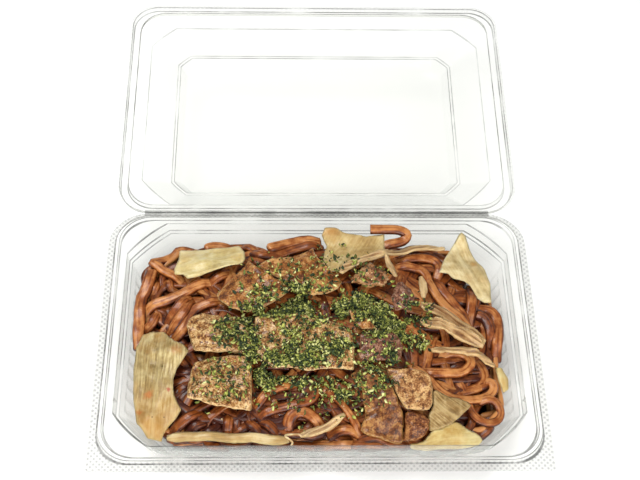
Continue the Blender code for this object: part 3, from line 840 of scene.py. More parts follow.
@dataclass
class Pack:
    """The clear tray, its hinged lid and the hinge between them."""

    ridge: float = 2.0
    open_tilt: float = 4.0
    lid_rise: float = -0.15
    hinge_half: float = 84.0
    hinge_reach: float = 1.6
    sheet: ClearSheet = field(default_factory=ClearSheet)

    WALL_TOP: ClassVar[int] = 7     # the folds between which the wall slopes
    WALL_FOOT: ClassVar[int] = -3

    def __post_init__(self) -> None:
        """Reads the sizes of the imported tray, lid and pin."""
        low, high = (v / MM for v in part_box("tray"))
        self.half_x, self.front, self.rear = high.x, low.y, high.y
        self.flange_z = high.z - self.ridge
        pin = Vector(frame["joints"][0]["pos_m"]) / MM
        self.hinge_y, self.hinge_z = pin.y, pin.z
        self.lid_half = (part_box("lid")[1] / MM).x

    def tray_folds(self) -> tuple[Fold, ...]:
        """Fold lines of the tray, from the flange's edge to the base."""
        z = self.flange_z
        return (
            Fold(0.0, 0.0, 0.0, 1.5, 18.0, 1.0, z, steps=4, grip=1.0),
            Fold(3.2, 3.6, 1.9, 15.5, 16.0, 1.0, z, grip=1.0),
            Fold(3.7, 4.1, 2.3, 15.2, 15.6, 1.0, z + self.ridge),
            Fold(5.4, 5.7, 3.6, 14.4, 14.6, 1.0, z + self.ridge),
            Fold(5.9, 6.2, 4.1, 14.2, 14.4, 1.0, z, steps=9),
            Fold(9.5, 12.2, 6.0, 16.2, 18.0, 0.2, z, steps=3),
            Fold(10.2, 12.4, 6.7, 16.3, 18.0, 0.2, z - 4.6),
            Fold(11.6, 12.6, 8.1, 16.6, 17.4, 0.15, z - 5.2, steps=2),
            Fold(13.2, 13.2, 9.7, 16.9, 16.9, 0.13, z - 9.2, steps=2),
            Fold(14.0, 14.0, 10.5, 16.6, 16.6, 0.13, z - 11.0, steps=3, flute=1.3),
            Fold(19.0, 19.0, 15.7, 15.0, 15.0, 0.15, z - 23.0, flute=1.3),
            Fold(20.6, 20.6, 17.3, 14.5, 14.5, 0.15, z - 24.9),
            Fold(22.6, 22.6, 19.3, 14.0, 14.0, 0.15, z - 25.5),
        )

    def lid_folds(self) -> tuple[Fold, ...]:
        """Fold lines of the lid, from the flange's edge to the roof."""
        return (
            Fold(0.0, 0.0, 0.0, 16.5, 14.0, 1.0, 0.0, steps=2, grip=0.3),
            Fold(1.3, 0.9, 1.3, 15.6, 13.2, 1.0, 0.0, grip=0.3),
            Fold(1.7, 1.3, 1.7, 15.3, 13.0, 1.0, -2.6),
            Fold(5.1, 4.2, 4.5, 13.4, 13.4, 1.0, -2.6),
            Fold(5.5, 4.6, 4.9, 13.2, 13.2, 1.0, 0.0, steps=6),
            Fold(12.2, 5.0, 16.4, 14.5, 12.5, 0.12, 0.0, steps=5),
            Fold(25.8, 16.7, 27.6, 7.5, 6.5, 0.12, -9.3),
            Fold(27.2, 18.1, 29.0, 6.9, 6.0, 0.12, -9.3, steps=3),
            Fold(31.4, 22.1, 32.6, 5.5, 5.0, 0.12, -14.7),
        )

    def open_lid(self, points: np.ndarray) -> np.ndarray:
        """Stands the lid at its open angle.

        Args:
            points: Across, from the hinge, and up from the lid's plane.
        Returns:
            The same points in the pack.
        """
        tilt = math.radians(self.open_tilt)
        run, rise = points[:, 1], points[:, 2] + self.lid_rise
        back = self.hinge_y + run * math.cos(tilt) - rise * math.sin(tilt)
        up = self.hinge_z + run * math.sin(tilt) + rise * math.cos(tilt)
        return np.column_stack([points[:, 0], back, up])

    def floor_height(self, xy: np.ndarray) -> np.ndarray:
        """Height of the tray's inner face, below its step.

        Args:
            xy: Places in plan.
        Returns:
            The heights.
        """
        base, foot, top = self.tray_folds()[-1], self.tray_folds()[self.WALL_FOOT], self.tray_folds()[
            self.WALL_TOP]
        slope = (foot.side - top.side) / (top.level - foot.level)
        x, y = np.abs(xy[:, 0]), xy[:, 1]
        side = x - (self.half_x - foot.side)
        front = (self.front + foot.near) - y
        rear = y - (self.rear - foot.far)
        root = math.sqrt(0.5)
        near_cut = (side + front + foot.cut_near) * root
        far_cut = (side + rear + foot.cut_far) * root
        out = np.max(np.stack([side, front, rear, near_cut, far_cut]), axis=0)
        return np.where(out > 0.0, foot.level + out / slope, base.level + 0.2)

    def keep_inside(self, path: np.ndarray, heights: np.ndarray, margin: float) -> np.ndarray:
        """Pushes a path off the walls.

        Args:
            path: Places in plan.
            heights: Height at each place.
            margin: How far the middle of the path stays from the wall.
        Returns:
            The path inside the tray.
        """
        foot, top = self.tray_folds()[self.WALL_FOOT], self.tray_folds()[self.WALL_TOP]
        slope = (foot.side - top.side) / (top.level - foot.level)
        room = (np.clip(heights, foot.level, top.level) - foot.level) * slope - margin
        half = self.half_x - foot.side
        low, high = self.front + foot.near, self.rear - foot.far
        out = path.copy()
        for _ in range(2):
            out[:, 0] = np.clip(out[:, 0], -half - room, half + room)
            out[:, 1] = np.clip(out[:, 1], low - room, high + room)
            for edge, sign, cut in ((low, -1.0, foot.cut_near), (high, 1.0, foot.cut_far)):
                over = (np.abs(out[:, 0]) - half + sign * (out[:, 1] - edge) + cut) * math.sqrt(0.5)
                push = np.maximum(over - room, 0.0) * math.sqrt(0.5)
                out[:, 0] -= np.sign(out[:, 0]) * push
                out[:, 1] -= sign * push
        return out

    def build(self) -> None:
        """Makes the tray, the lid and the hinge."""
        clear = self.sheet.build()
        z = self.flange_z
        dimples = [Mark((sx * (self.half_x - 14.5), y, z), 4.6, -0.9, 0.55) for sx in (-1, 1)
            for y in (self.front + 12.0, self.rear - 10.5)]
        notches = [Mark((sx * (self.half_x - 9.0), -34.0, z), 1.6, -0.9) for sx in (-1, 1)]
        button = Mark((-46.0, self.rear - 6.3, z - 2.4), 1.3, 0.9)
        tray = FormedSheet("tray_sheet", self.half_x, self.front, self.rear, self.tray_folds(),
            tuple(dimples + notches + [button]))
        finish_piece(tray.build(clear), Body.TRAY, Slot.SHEET, "tray")
        folds = self.lid_folds()
        stops = (Mark((-77.6, 47.0, -5.5), 1.8, 0.9), Mark((82.4, 43.0, -2.6), 1.8, 0.9))
        lid = FormedSheet("lid_sheet", self.lid_half, 0.3, 135.2, folds, stops, short_steps=70,
            long_steps=90, place=self.open_lid)
        finish_piece(lid.build(clear), Body.LID, Slot.SHEET, "lid")
        self.build_hinge(clear)

    def build_hinge(self, clear: bpy.types.Material) -> None:
        """The thin rolled fold that joins the two flanges.

        Args:
            clear: The clear sheet.
        """
        reach, half, thick = self.hinge_reach, self.hinge_half, 0.12
        profile = [(-reach, -0.12), (-0.8, -0.10), (-0.25, -0.02), (0.25, 0.02), (0.8, 0.05),
            (reach, 0.10)]
        xs = np.linspace(-half, half, 13)
        verts = [(x, self.hinge_y + y, self.hinge_z + z + lift) for lift in (thick, 0.0) for x in xs
            for y, z in profile]
        wide, per = len(xs), len(profile)
        faces = []
        for layer in (0, wide * per):
            for a in range(wide - 1):
                for b in range(per - 1):
                    quad = [a * per + b, (a + 1) * per + b, (a + 1) * per + b + 1, a * per + b + 1]
                    faces.append([layer + q for q in (quad if layer == 0 else quad[::-1])])
        rim = [a * per for a in range(wide)]
        rim += [(wide - 1) * per + b for b in range(1, per)]
        rim += [a * per + per - 1 for a in range(wide - 2, -1, -1)]
        rim += list(range(per - 2, 0, -1))
        for k, a in enumerate(rim):
            b = rim[(k + 1) % len(rim)]
            faces.append([a, a + wide * per, b + wide * per, b])
        # The whole hinge carries half the painted fold shade
        obj = make_object("living_hinge", np.array(verts), faces, clear, {"knurl": np.zeros(len(verts)),
            "fold": np.full(len(verts), 0.5)})
        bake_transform(obj)
        LOG.info("%s: %d faces between tray and lid", obj.name, len(faces))


# --------------------------------------------------------- reading the CAD food


def inside(outline: np.ndarray, xy: np.ndarray) -> np.ndarray:
    """Tests which places lie within an outline.

    Args:
        outline: Corner points in order.
        xy: The places.
    Returns:
        True for each place inside.
    """
    a, b = outline, np.roll(outline, -1, axis=0)
    x, y = xy[:, :1], xy[:, 1:]
    crosses = (a[:, 1] > y) != (b[:, 1] > y)
    rise = np.where(np.abs(b[:, 1] - a[:, 1]) < 1e-9, 1e-9, b[:, 1] - a[:, 1])
    at = a[:, 0] + (y - a[:, 1]) * (b[:, 0] - a[:, 0]) / rise
    return ((crosses & (x < at)).sum(axis=1) % 2).astype(bool)


def edge_distance(outline: np.ndarray, xy: np.ndarray) -> np.ndarray:
    """Shortest distance from each place to a closed outline."""
    a, b = outline[None], np.roll(outline, -1, axis=0)[None]
    run = b - a
    t = np.clip(((xy[:, None] - a) * run).sum(2) / np.maximum((run ** 2).sum(2), 1e-9), 0, 1)
    return np.linalg.norm(a + run * t[..., None] - xy[:, None], axis=2).min(axis=1)


class PlanSurface:
    """Upper and lower faces of a CAD node, read as heights over the plan."""

    FLAT = 0.02     # least upward part of a face's normal

    def __init__(self, node: str) -> None:
        """Reads one CAD node.

        Args:
            node: Its name.
        """
        mesh = frame["nodes"][node].data
        co = np.empty(len(mesh.vertices) * 3)
        mesh.vertices.foreach_get("co", co)
        mesh.calc_loop_triangles()
        tris = np.empty(len(mesh.loop_triangles) * 3, int)
        mesh.loop_triangles.foreach_get("vertices", tris)
        points, merged = np.unique(np.round(co.reshape(-1, 3) / MM, 3), axis=0, return_inverse=True)
        tris = merged.ravel()[tris.reshape(-1, 3)]
        a, b, c = (points[tris[:, k]] for k in range(3))
        normal = np.cross(b - a, c - a)
        upward = normal[:, 2] / np.maximum(np.linalg.norm(normal, axis=1), 1e-9)
        self.points = points
        self.top = self.tree(tris[upward > self.FLAT])
        self.under = self.tree(tris[upward < -self.FLAT])
        self.outline = self.border(tris[upward > self.FLAT])
        self.middle = float(points[:, 2].mean())

    def tree(self, tris: np.ndarray) -> BVHTree:
        """A search tree of some of the faces."""
        return BVHTree.FromPolygons(self.points.tolist(), tris.tolist())

    def border(self, tris: np.ndarray) -> np.ndarray:
        """Walks round the edge of the upper face.

        Args:
            tris: The upper triangles.
        Returns:
            The edge in plan, anticlockwise.
        """
        directed = {(int(t[k]), int(t[(k + 1) % 3])) for t in tris for k in range(3)}
        after = {a: b for a, b in directed if (b, a) not in directed}
        start = min(after)
        walk, at = [start], after[start]
        while at != start:
            walk.append(at)
            at = after[at]
        return self.points[walk][:, :2]

    def heights(self, xy: np.ndarray, upper: bool = True) -> np.ndarray:
        """Height of the upper or the lower face at each place, or of its nearest edge."""
        tree = self.top if upper else self.under
        out = np.empty(len(xy))
        down = Vector((0.0, 0.0, -1.0))
        for k, (x, y) in enumerate(xy):
            hit = tree.ray_cast(Vector((x, y, ABOVE_ALL)), down)[0]
            if hit is None:
                hit = tree.find_nearest(Vector((x, y, self.middle)))[0]
            out[k] = hit.z
        return out


def close_solid(xy: np.ndarray, tris: np.ndarray, border: int, upper: np.ndarray,
        lower: np.ndarray) -> tuple[np.ndarray, np.ndarray]:
    """Joins an upper and a lower face along the border that they share.

    Args:
        xy: Points in plan, the border's first.
        tris: Their triangles, seen from above.
        border: How many points the border has.
        upper: Heights of the upper face.
        lower: Heights of the lower face.
    Returns:
        The solid's points and faces.
    """
    verts = np.vstack([np.column_stack([xy, upper]), np.column_stack([xy[border:], lower[border:]])])
    below = np.where(tris < border, tris, tris + len(xy) - border)
    return verts, np.vstack([tris, below[:, ::-1]])


# -------------------------------------------------------------------- toppings


@dataclass(frozen=True)
class Swell:
    """One layer of unevenness: how wide and how high."""

    size: float
    height: float


@dataclass(frozen=True)
class Cut:
    """How one kind of topping is shaped."""

    step: float = 0.85              # mesh spacing
    thick: float = 0.0              # 0 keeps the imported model's thickness
    edge: float = 1.2               # how far the rounded edge reaches in
    curl: float = 0.0               # how far the rim bends up or down
    ragged: float = 0.3             # unevenness of the outline
    corner: float = 0.12            # 0 keeps the outline's corners, 1 rounds them
    wrinkle: float = 0.0            # height of lengthwise wrinkles
    wrinkle_gap: float = 3.4
    swells: tuple[Swell, ...] = ()
    sink: float = 0.0               # lowers a thin piece towards what it lies on
    vein_gap: float = 0.0           # spacing of side veins
    vein_height: float = 0.0
    rib_gap: float = 0.0            # spacing of lengthwise ribs
    rib_height: float = 0.0
    rim_reach: float = 2.2          # width of the differently coloured rim


LEAF = Cut(thick=0.8, edge=0.35, ragged=0.16, swells=(Swell(17.0, 0.9), Swell(5.0, 0.2)), vein_gap=8.5,
    vein_height=0.16, sink=0.2, wrinkle=0.55)
SLICE = Cut(step=0.7, thick=1.5, sink=0.6, edge=0.55, ragged=0.36, curl=1.5,
    swells=(Swell(13.0, 1.5), Swell(5.0, 0.9), Swell(2.4, 0.4), Swell(1.3, 0.16)), rim_reach=1.5)
LUMP = Cut(step=0.7, edge=2.0, ragged=0.9, corner=0.4, rim_reach=1.0,
    swells=(Swell(5.6, 2.2), Swell(2.6, 0.9), Swell(1.4, 0.35)))
RIB = Cut(step=0.55, thick=1.3, edge=0.6, ragged=0.5, swells=(Swell(12.0, 0.5),), rib_gap=2.1,
    rib_height=0.38, wrinkle=1.1, wrinkle_gap=2.0)
SPROUT = Cut(step=0.55, thick=1.5, edge=0.8, ragged=0.25, corner=0.5, swells=(Swell(9.0, 0.3),),
    rib_gap=1.7, rib_height=0.22, wrinkle=0.7, wrinkle_gap=1.6)
CRUMPLE = Cut(step=0.6, edge=1.5, ragged=1.3, corner=0.3, rim_reach=1.0,
    swells=(Swell(4.2, 3.2), Swell(2.2, 1.3), Swell(1.2, 0.35)))


@dataclass
class Topping:
    """One piece lying on the noodles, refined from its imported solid."""

    node: str
    cut: Cut
    slot: Slot
    axis: Optional[float] = None    # direction of the main vein in degrees
    grow: float = 0.0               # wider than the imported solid, to close a seam

    def build(self, material: bpy.types.Material) -> bpy.types.Object:
        """Makes the piece.

        Args:
            material: Its finish.
        Returns:
            The closed mesh piece.
        """
        cut = self.cut
        surface = PlanSurface(self.node)
        seed = float(sum(map(ord, self.node)) % 97)
        edge = spline(surface.outline, cut.step, closed=True, bend=cut.corner)
        run = np.roll(edge, -1, axis=0) - np.roll(edge, 1, axis=0)
        out = np.column_stack([run[:, 1], -run[:, 0]])
        out /= np.maximum(np.linalg.norm(out, axis=1, keepdims=True), 1e-9)
        wander = ripple(edge, 4.0, seed) + 0.6 * ripple(edge, 1.6, seed + 5.0)
        edge = edge + out * (cut.ragged * (wander - 0.4) + self.grow)[:, None]
        xy, tris = self.fill(edge, cut.step)
        count = len(edge)
        reach = edge_distance(edge, xy)
        reach[:count] = 0.0
        top, low = surface.heights(xy), surface.heights(xy, upper=False)
        top, low = self.smooth(top, tris), self.smooth(low, tris)
        full = np.maximum(top - low, 0.5)
        if cut.thick:
            full = np.full(len(xy), cut.thick)
        middle = 0.5 * (top + low) - cut.sink
        for swell in cut.swells:
            middle = middle + 0.5 * swell.height * ripple(xy, swell.size, seed + swell.size)
        bent = 1.6 * ripple(xy, 15.0, seed + 31.0) * (1.0 - smoothstep(0.0, 5.0, reach))
        middle = middle + cut.curl * np.maximum(bent, -0.6)
        lift = np.zeros(len(xy))
        for swell in cut.swells:
            lift += 0.5 * swell.height * ripple(xy, swell.size, seed + 3.0 * swell.size)
        grain = self.grain(xy, surface)
        vein = self.veins(grain)
        middle += cut.wrinkle * ripple(grain * (0.16, 1.0, 0.0), cut.wrinkle_gap, seed + 60.0)
        lift += cut.vein_height * vein
        if cut.rib_gap:
            ridge = np.cos(2.0 * math.pi * grain[:, 1] / cut.rib_gap + 1.6 * ripple(xy, 7.0, seed))
            lift += cut.rib_height * ridge
            vein = np.clip(ridge, 0.0, 1.0) ** 2
        ease = np.sqrt(1.0 - (1.0 - np.clip(reach / cut.edge, 0.0, 1.0)) ** 2)
        upper = middle + (0.5 * full + np.maximum(lift, -0.3 * full)) * ease
        lower = middle - 0.5 * full * ease
        verts, faces = close_solid(xy, tris, count, upper, lower)
        rim = 1.0 - smoothstep(0.0, cut.rim_reach, reach)
        twice = [np.concatenate([v, v[count:]]) for v in (rim, vein, grain)]
        obj = make_object(self.node + "_cooked", verts, faces, material,
            {"rim": twice[0], "vein": twice[1], "grain": twice[2] * MM})
        return finish_piece(obj, Body.TRAY, self.slot, self.node)

    @staticmethod
    def fill(edge: np.ndarray, step: float) -> tuple[np.ndarray, np.ndarray]:
        """Triangulates an outline with evenly spaced points inside.

        Args:
            edge: The outline, anticlockwise.
            step: Spacing.
        Returns:
            The points, the outline's first, and the triangles.
        """
        low, high = edge.min(axis=0), edge.max(axis=0)
        ys = np.arange(low[1] + 0.5 * step, high[1], 0.87 * step)
        rows = []
        for k, y in enumerate(ys):
            xs = np.arange(low[0] + (0.5 * step if k % 2 else 0.0), high[0], step)
            rows.append(np.column_stack([xs, np.full(len(xs), y)]))
        inner = np.vstack(rows)
        inner = inner[inside(edge, inner)]
        inner = inner[edge_distance(edge, inner) > 0.6 * step]
        count = len(edge)
        loops = [(k, (k + 1) % count) for k in range(count)]
        res = delaunay_2d_cdt([Vector(p) for p in np.vstack([edge, inner])], loops, [list(range(count))],
            1, 1e-6)
        xy = np.array([tuple(p) for p in res[0]])
        tris = np.array([tuple(f) for f in res[2]])
        a, b, c = (xy[tris[:, k]] for k in range(3))
        turn = (b[:, 0] - a[:, 0]) * (c[:, 1] - a[:, 1]) - (b[:, 1] - a[:, 1]) * (c[:, 0] - a[:, 0])
        tris[turn < 0.0] = tris[turn < 0.0][:, ::-1]
        return xy, tris

    @staticmethod
    def smooth(z: np.ndarray, tris: np.ndarray, rounds: int = 14) -> np.ndarray:
        """Evens heights out over neighbouring points."""
        pairs = np.vstack([tris[:, [0, 1]], tris[:, [1, 2]], tris[:, [2, 0]]])
        pairs = np.vstack([pairs, pairs[:, ::-1]])
        share = np.bincount(pairs[:, 0], minlength=len(z))
        for _ in range(rounds):
            near = np.bincount(pairs[:, 0], weights=z[pairs[:, 1]], minlength=len(z))
            z = 0.5 * z + 0.5 * near / np.maximum(share, 1)
        return z

    def grain(self, xy: np.ndarray, surface: PlanSurface) -> np.ndarray:
        """Places along and across the piece's own direction.

        Args:
            xy: The points.
            surface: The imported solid.
        Returns:
            Along, across and zero for each point, in millimetres.
        """
        centre = surface.outline.mean(axis=0)
        if self.axis is None:
            spread = np.cov((surface.outline - centre).T)
            long_way = np.linalg.eigh(spread)[1][:, 1]
        else:
            turn = math.radians(self.axis)
            long_way = np.array([math.cos(turn), math.sin(turn)])
        across = np.array([-long_way[1], long_way[0]])
        local = xy - centre
        bowed = local @ across + 0.9 * ripple(xy, 14.0, centre[0])
        return np.column_stack([local @ long_way, bowed, np.zeros(len(xy))])

    def veins(self, grain: np.ndarray) -> np.ndarray:
        """How much of a vein each point lies on, from 0 to 1."""
        if not self.cut.vein_gap:
            return np.zeros(len(grain))
        along, across = grain[:, 0], grain[:, 1]
        gap = self.cut.vein_gap
        main = np.exp(-(across / 0.9) ** 2)
        slant = (along - 0.75 * np.abs(across)) / gap
        side = np.abs(slant - np.round(slant)) * gap
        fine = (along + 0.5 * np.abs(across)) / (0.45 * gap)
        small = np.abs(fine - np.round(fine)) * 0.45 * gap
        return np.clip(main + 0.7 * np.exp(-(side / 0.55) ** 2) + 0.3 * np.exp(-(small / 0.35) ** 2),
            0.0, 1.0)


class Toppings:
    """Everything that lies on the noodles as a piece of its own."""

    LEAVES: dict[str, float] = {"cabbage_rear_left": 12.0, "cabbage_rear_middle": 62.0,
        "cabbage_rear_right": 115.0, "cabbage_front_left": 88.0, "cabbage_front_strip": 0.0,
        "cabbage_front_right": 140.0, "cabbage_front_yellow": 10.0, "cabbage_right_edge": 95.0}
    SLICES: tuple[str, ...] = ("pork_rear_right", "pork_rear_left", "pork_left", "pork_front_left",
        "pork_middle", "pork_middle_small", "pork_front_right", "pork_front_fold")
    LUMPS: tuple[str, ...] = ("pork_rear_lump", "pork_right_lump", "pork_middle_right",
        "pork_front_dark")
    RIBS: tuple[str, ...] = ("cabbage_rib_upper", "cabbage_rib_lower", "cabbage_rib_front")
    GROW: dict[str, float] = {"pork_front_fold": 1.3, "pork_front_right": 0.8, "pork_front_dark": 1.2,
        "pork_left": 0.6, "pork_middle": 0.5, "cabbage_front_yellow": 1.0, "cabbage_front_right": 1.0}
    SPROUTS: tuple[str, ...] = ("sprout_rear", "sprout_short", "sprout_right", "sprout_front")

    def __init__(self) -> None:
        """Lists the nodes that are toppings."""
        self.pieces: list[bpy.types.Object] = []
        self.nodes = [*self.LEAVES, *self.SLICES, *self.LUMPS, *self.RIBS, *self.SPROUTS]

    def build(self) -> None:
        """Makes every topping with its finish."""
        leaf = SoftLeaf().build()
        browned = SoftLeaf(name="sauce_stained_leaf", blade="#A58E5C", shade="#7C663A", vein="#CDBB8A",
            sauce="#B17F3B", sauce_share=0.6, end_sauce=0.75, vein_share=0.3, fibre_share=1.1,
            stains=(Stain(-76.0, -29.5, 3.2, "#B5682A", 0.75), Stain(-67.0, -28.5, 1.5, "#A02C14"),
            Stain(-80.0, -38.0, 2.4, "#B0642C", 0.6), Stain(-73.5, -41.5, 0.6, "#4A3418"),
            Stain(-68.5, -41.0, 0.6, "#4A3418"), Stain(-70.5, -16.5, 0.7, "#5A4A22"),
            Stain(-64.5, -9.0, 4.0, "#B57A44", 0.5))).build()
        creamy = SoftLeaf(name="sauce_tinged_leaf", blade="#B79A62", shade="#9E7F4B", vein="#CEB884",
            sauce="#AE783A", sauce_share=0.6).build()
        pale = SoftLeaf(name="pale_leaf", blade="#C3AD7D", shade="#A58D5B", vein="#D7C89C",
            sauce="#B4854A", sauce_share=0.5, stains=(Stain(75.0, 41.0, 2.6, "#B98A42", 0.6),)).build()
        strip = SoftLeaf(name="sauce_stained_strip", blade="#B5955E", shade="#977846", vein="#CBB687",
            sauce="#A26E31", sauce_share=0.6, vein_share=0.0, fibre_pitch=1.1, fibre_share=0.9).build()
        lined = SoftLeaf(name="veined_leaf", blade="#8A6C3E", shade="#654A24", vein="#B59C6C",
            sauce="#9A7139", vein_share=0.8, fibre_pitch=0.8, fibre_share=0.9).build()
        yellow = SoftLeaf(name="yellow_inner_leaf", blade="#C0A86C", shade="#A98643", vein="#D2C18C",
            sauce="#B8853A", sauce_share=0.5, vein_share=0.15).build()
        pale_pork = FriedPork(name="pale_browned_pork", burnt="#5A3012", lean="#A5723A", fat="#DDBC84",
            patch_size=3.0, grain_share=0.9, spot_share=0.9).build()
        tan_pork = FriedPork(name="tan_browned_pork", burnt="#50290F", lean="#946132", fat="#CFA66E",
            patch_size=3.6, grain_share=0.8, spot_share=0.9).build()
        lumpy_pork = FriedPork(name="light_pork_lumps", burnt="#58290F", lean="#9C683C", fat="#D4AF80",
            crisp="#A4764A", spot_share=0.35).build()
        dark_pork = FriedPork(name="dark_browned_pork", burnt="#3C1E16", lean="#7A4932", fat="#A98065",
            crisp="#8D6148", patch_size=2.6, grain_share=1.1).build()
        roast_pork = FriedPork(name="dark_roast_pork", burnt="#3E1A0C", lean="#703B1A", fat="#AC7540",
            crisp="#895026", patch_size=2.6, grain_share=1.1).build()
        fold_pork = FriedPork(name="brown_folded_pork", burnt="#42200C", lean="#78441F", fat="#A87840",
            crisp="#B48A52", patch_size=3.4).build()
        own = {"pork_front_left": pale_pork, "pork_left": pale_pork, "pork_middle": pale_pork,
            "pork_front_right": tan_pork, "pork_rear_lump": lumpy_pork, "pork_front_dark": roast_pork,
            "pork_front_fold": fold_pork, "cabbage_rear_middle": creamy, "cabbage_rear_right": pale,
            "cabbage_front_left": browned, "cabbage_front_strip": strip, "cabbage_front_right": lined,
            "cabbage_front_yellow": yellow, "cabbage_right_edge": yellow}
        pork = FriedPork().build()
        rib = SoftLeaf(name="cooked_cabbage_rib", blade="#8A6238", shade="#58321A", vein="#C4A474",
            sauce="#835228", sauce_share=0.6, vein_share=0.6, edge_share=0.7, fibre_pitch=1.0,
            fibre_share=1.1).build()
        sprout = SoftLeaf(name="cooked_bean_sprout", blade="#9A734A", shade="#65401F", vein="#C9AD7E",
            sauce="#90612F", sauce_share=0.5, vein_share=0.7, edge_share=0.6, fibre_pitch=1.0,
            fibre_share=0.9).build()
        plan = [(node, LEAF, Slot.CABBAGE, own.get(node, leaf), axis) for node,
            axis in self.LEAVES.items()]
        plan += [(node, SLICE, Slot.PORK, own.get(node, pork), None) for node in self.SLICES]
        plan += [(node, CRUMPLE if node == "pork_rear_lump" else LUMP, Slot.PORK,
            own.get(node, dark_pork), None) for node in self.LUMPS]
        plan += [(node, RIB, Slot.SPROUT, rib, None) for node in self.RIBS]
        plan += [(node, SPROUT, Slot.SPROUT, sprout, None) for node in self.SPROUTS]
        for node, cut, slot, material, axis in plan:
            grow = self.GROW.get(node, 0.0)
            self.pieces.append(Topping(node, cut, slot, axis, grow).build(material))


# ------------------------------------------------------------- geometry graphs


class Graph:
    """A Geometry Nodes tree with named inputs, run once and frozen to a mesh."""

    def __init__(self, name: str) -> None:
        """Starts a tree that takes and gives geometry.

        Args:
            name: The tree's name.
        """
        self.tree = bpy.data.node_groups.new(name, "GeometryNodeTree")
        self.tree.interface.new_socket("Geometry", in_out="OUTPUT", socket_type="NodeSocketGeometry")
        self.sockets: dict[str, str] = {}
        self.take("Geometry", "NodeSocketGeometry")

    def take(self, name: str, kind: str) -> None:
        """Adds one named input."""
        socket = self.tree.interface.new_socket(name, in_out="INPUT", socket_type=kind)
        self.sockets[name] = socket.identifier

    def freeze(self, carrier: bpy.types.Object, name: str, values: dict[str, Any]) -> bpy.types.Object:
        """Runs the tree on a carrier and keeps the result as a plain mesh.

        Args:
            carrier: The object that feeds the tree; it is removed.
            name: Name of the new object.
            values: The inputs by name.
        Returns:
            The new object.
        """
        run = carrier.modifiers.new("graph", "NODES")
        run.node_group = self.tree
        for key, value in values.items():
            run[self.sockets[key]] = value
        graph = bpy.context.evaluated_depsgraph_get()
        mesh = bpy.data.meshes.new_from_object(carrier.evaluated_get(graph),
            preserve_all_data_layers=True, depsgraph=graph)
        mesh.name = name
        carrier.modifiers.remove(run)
        bpy.data.objects.remove(carrier)
        obj = bpy.data.objects.new(name, mesh)
        bpy.context.scene.collection.objects.link(obj)
        return obj


def strand_graph() -> Graph:
    """Builds the tree that turns guide lines into flattened round strands.

    Returns:
        The graph, with inputs for width, thickness, corner and material.
    """
    graph = Graph("strands")
    for name in ("Width", "Thickness", "Corner"):
        graph.take(name, "NodeSocketFloat")
    graph.take("Material", "NodeSocketMaterial")
    add = partial(add_node, graph.tree)
    given = add("NodeGroupInput").outputs
    line = add("GeometryNodeMeshToCurve", {"Mesh": given["Geometry"]})
    upright = add("GeometryNodeSetCurveNormal", {"Curve": line}, mode="Z_UP")
    roll = add("GeometryNodeInputNamedAttribute", {"Name": "roll"})
    tilted = add("GeometryNodeSetCurveTilt", {"Curve": upright, "Tilt": roll.outputs["Attribute"]})
    girth = add("GeometryNodeInputNamedAttribute", {"Name": "girth"})
    run = add("GeometryNodeSplineParameter")
    along = add("GeometryNodeStoreNamedAttribute", {"Geometry": tilted, "Name": "along",
        "Value": run.outputs["Length"]})
    block = add("GeometryNodeCurvePrimitiveQuadrilateral",
        {"Width": given["Width"], "Height": given["Thickness"]})
    fillet = add("GeometryNodeFilletCurve", {"Curve": block, "Radius": given["Corner"], "Count": 3},
        mode="POLY")
    turn = add("GeometryNodeSplineParameter")
    around = add("GeometryNodeStoreNamedAttribute", {"Geometry": fillet, "Name": "around",
        "Value": turn.outputs["Length"]})
    skin = add("GeometryNodeCurveToMesh", {"Curve": along, "Profile Curve": around,
        "Scale": girth.outputs["Attribute"], "Fill Caps": True})
    parts = [add("GeometryNodeInputNamedAttribute", {"Name": name}).outputs["Attribute"]
        for name in ("along", "around")]
    both = add("CombineXYZ", {"X": parts[0], "Y": parts[1]})
    mapped = add("GeometryNodeStoreNamedAttribute", {"Geometry": skin, "Name": "grain", "Value": both},
        data_type="FLOAT_VECTOR")
    shaded = add("GeometryNodeSetShadeSmooth", {"Geometry": mapped})
    real = add("GeometryNodeRealizeInstances", {"Geometry": shaded})
    dressed = add("GeometryNodeSetMaterial", {"Geometry": real, "Material": given["Material"]})
    add("NodeGroupOutput", {"Geometry": dressed})
    return graph


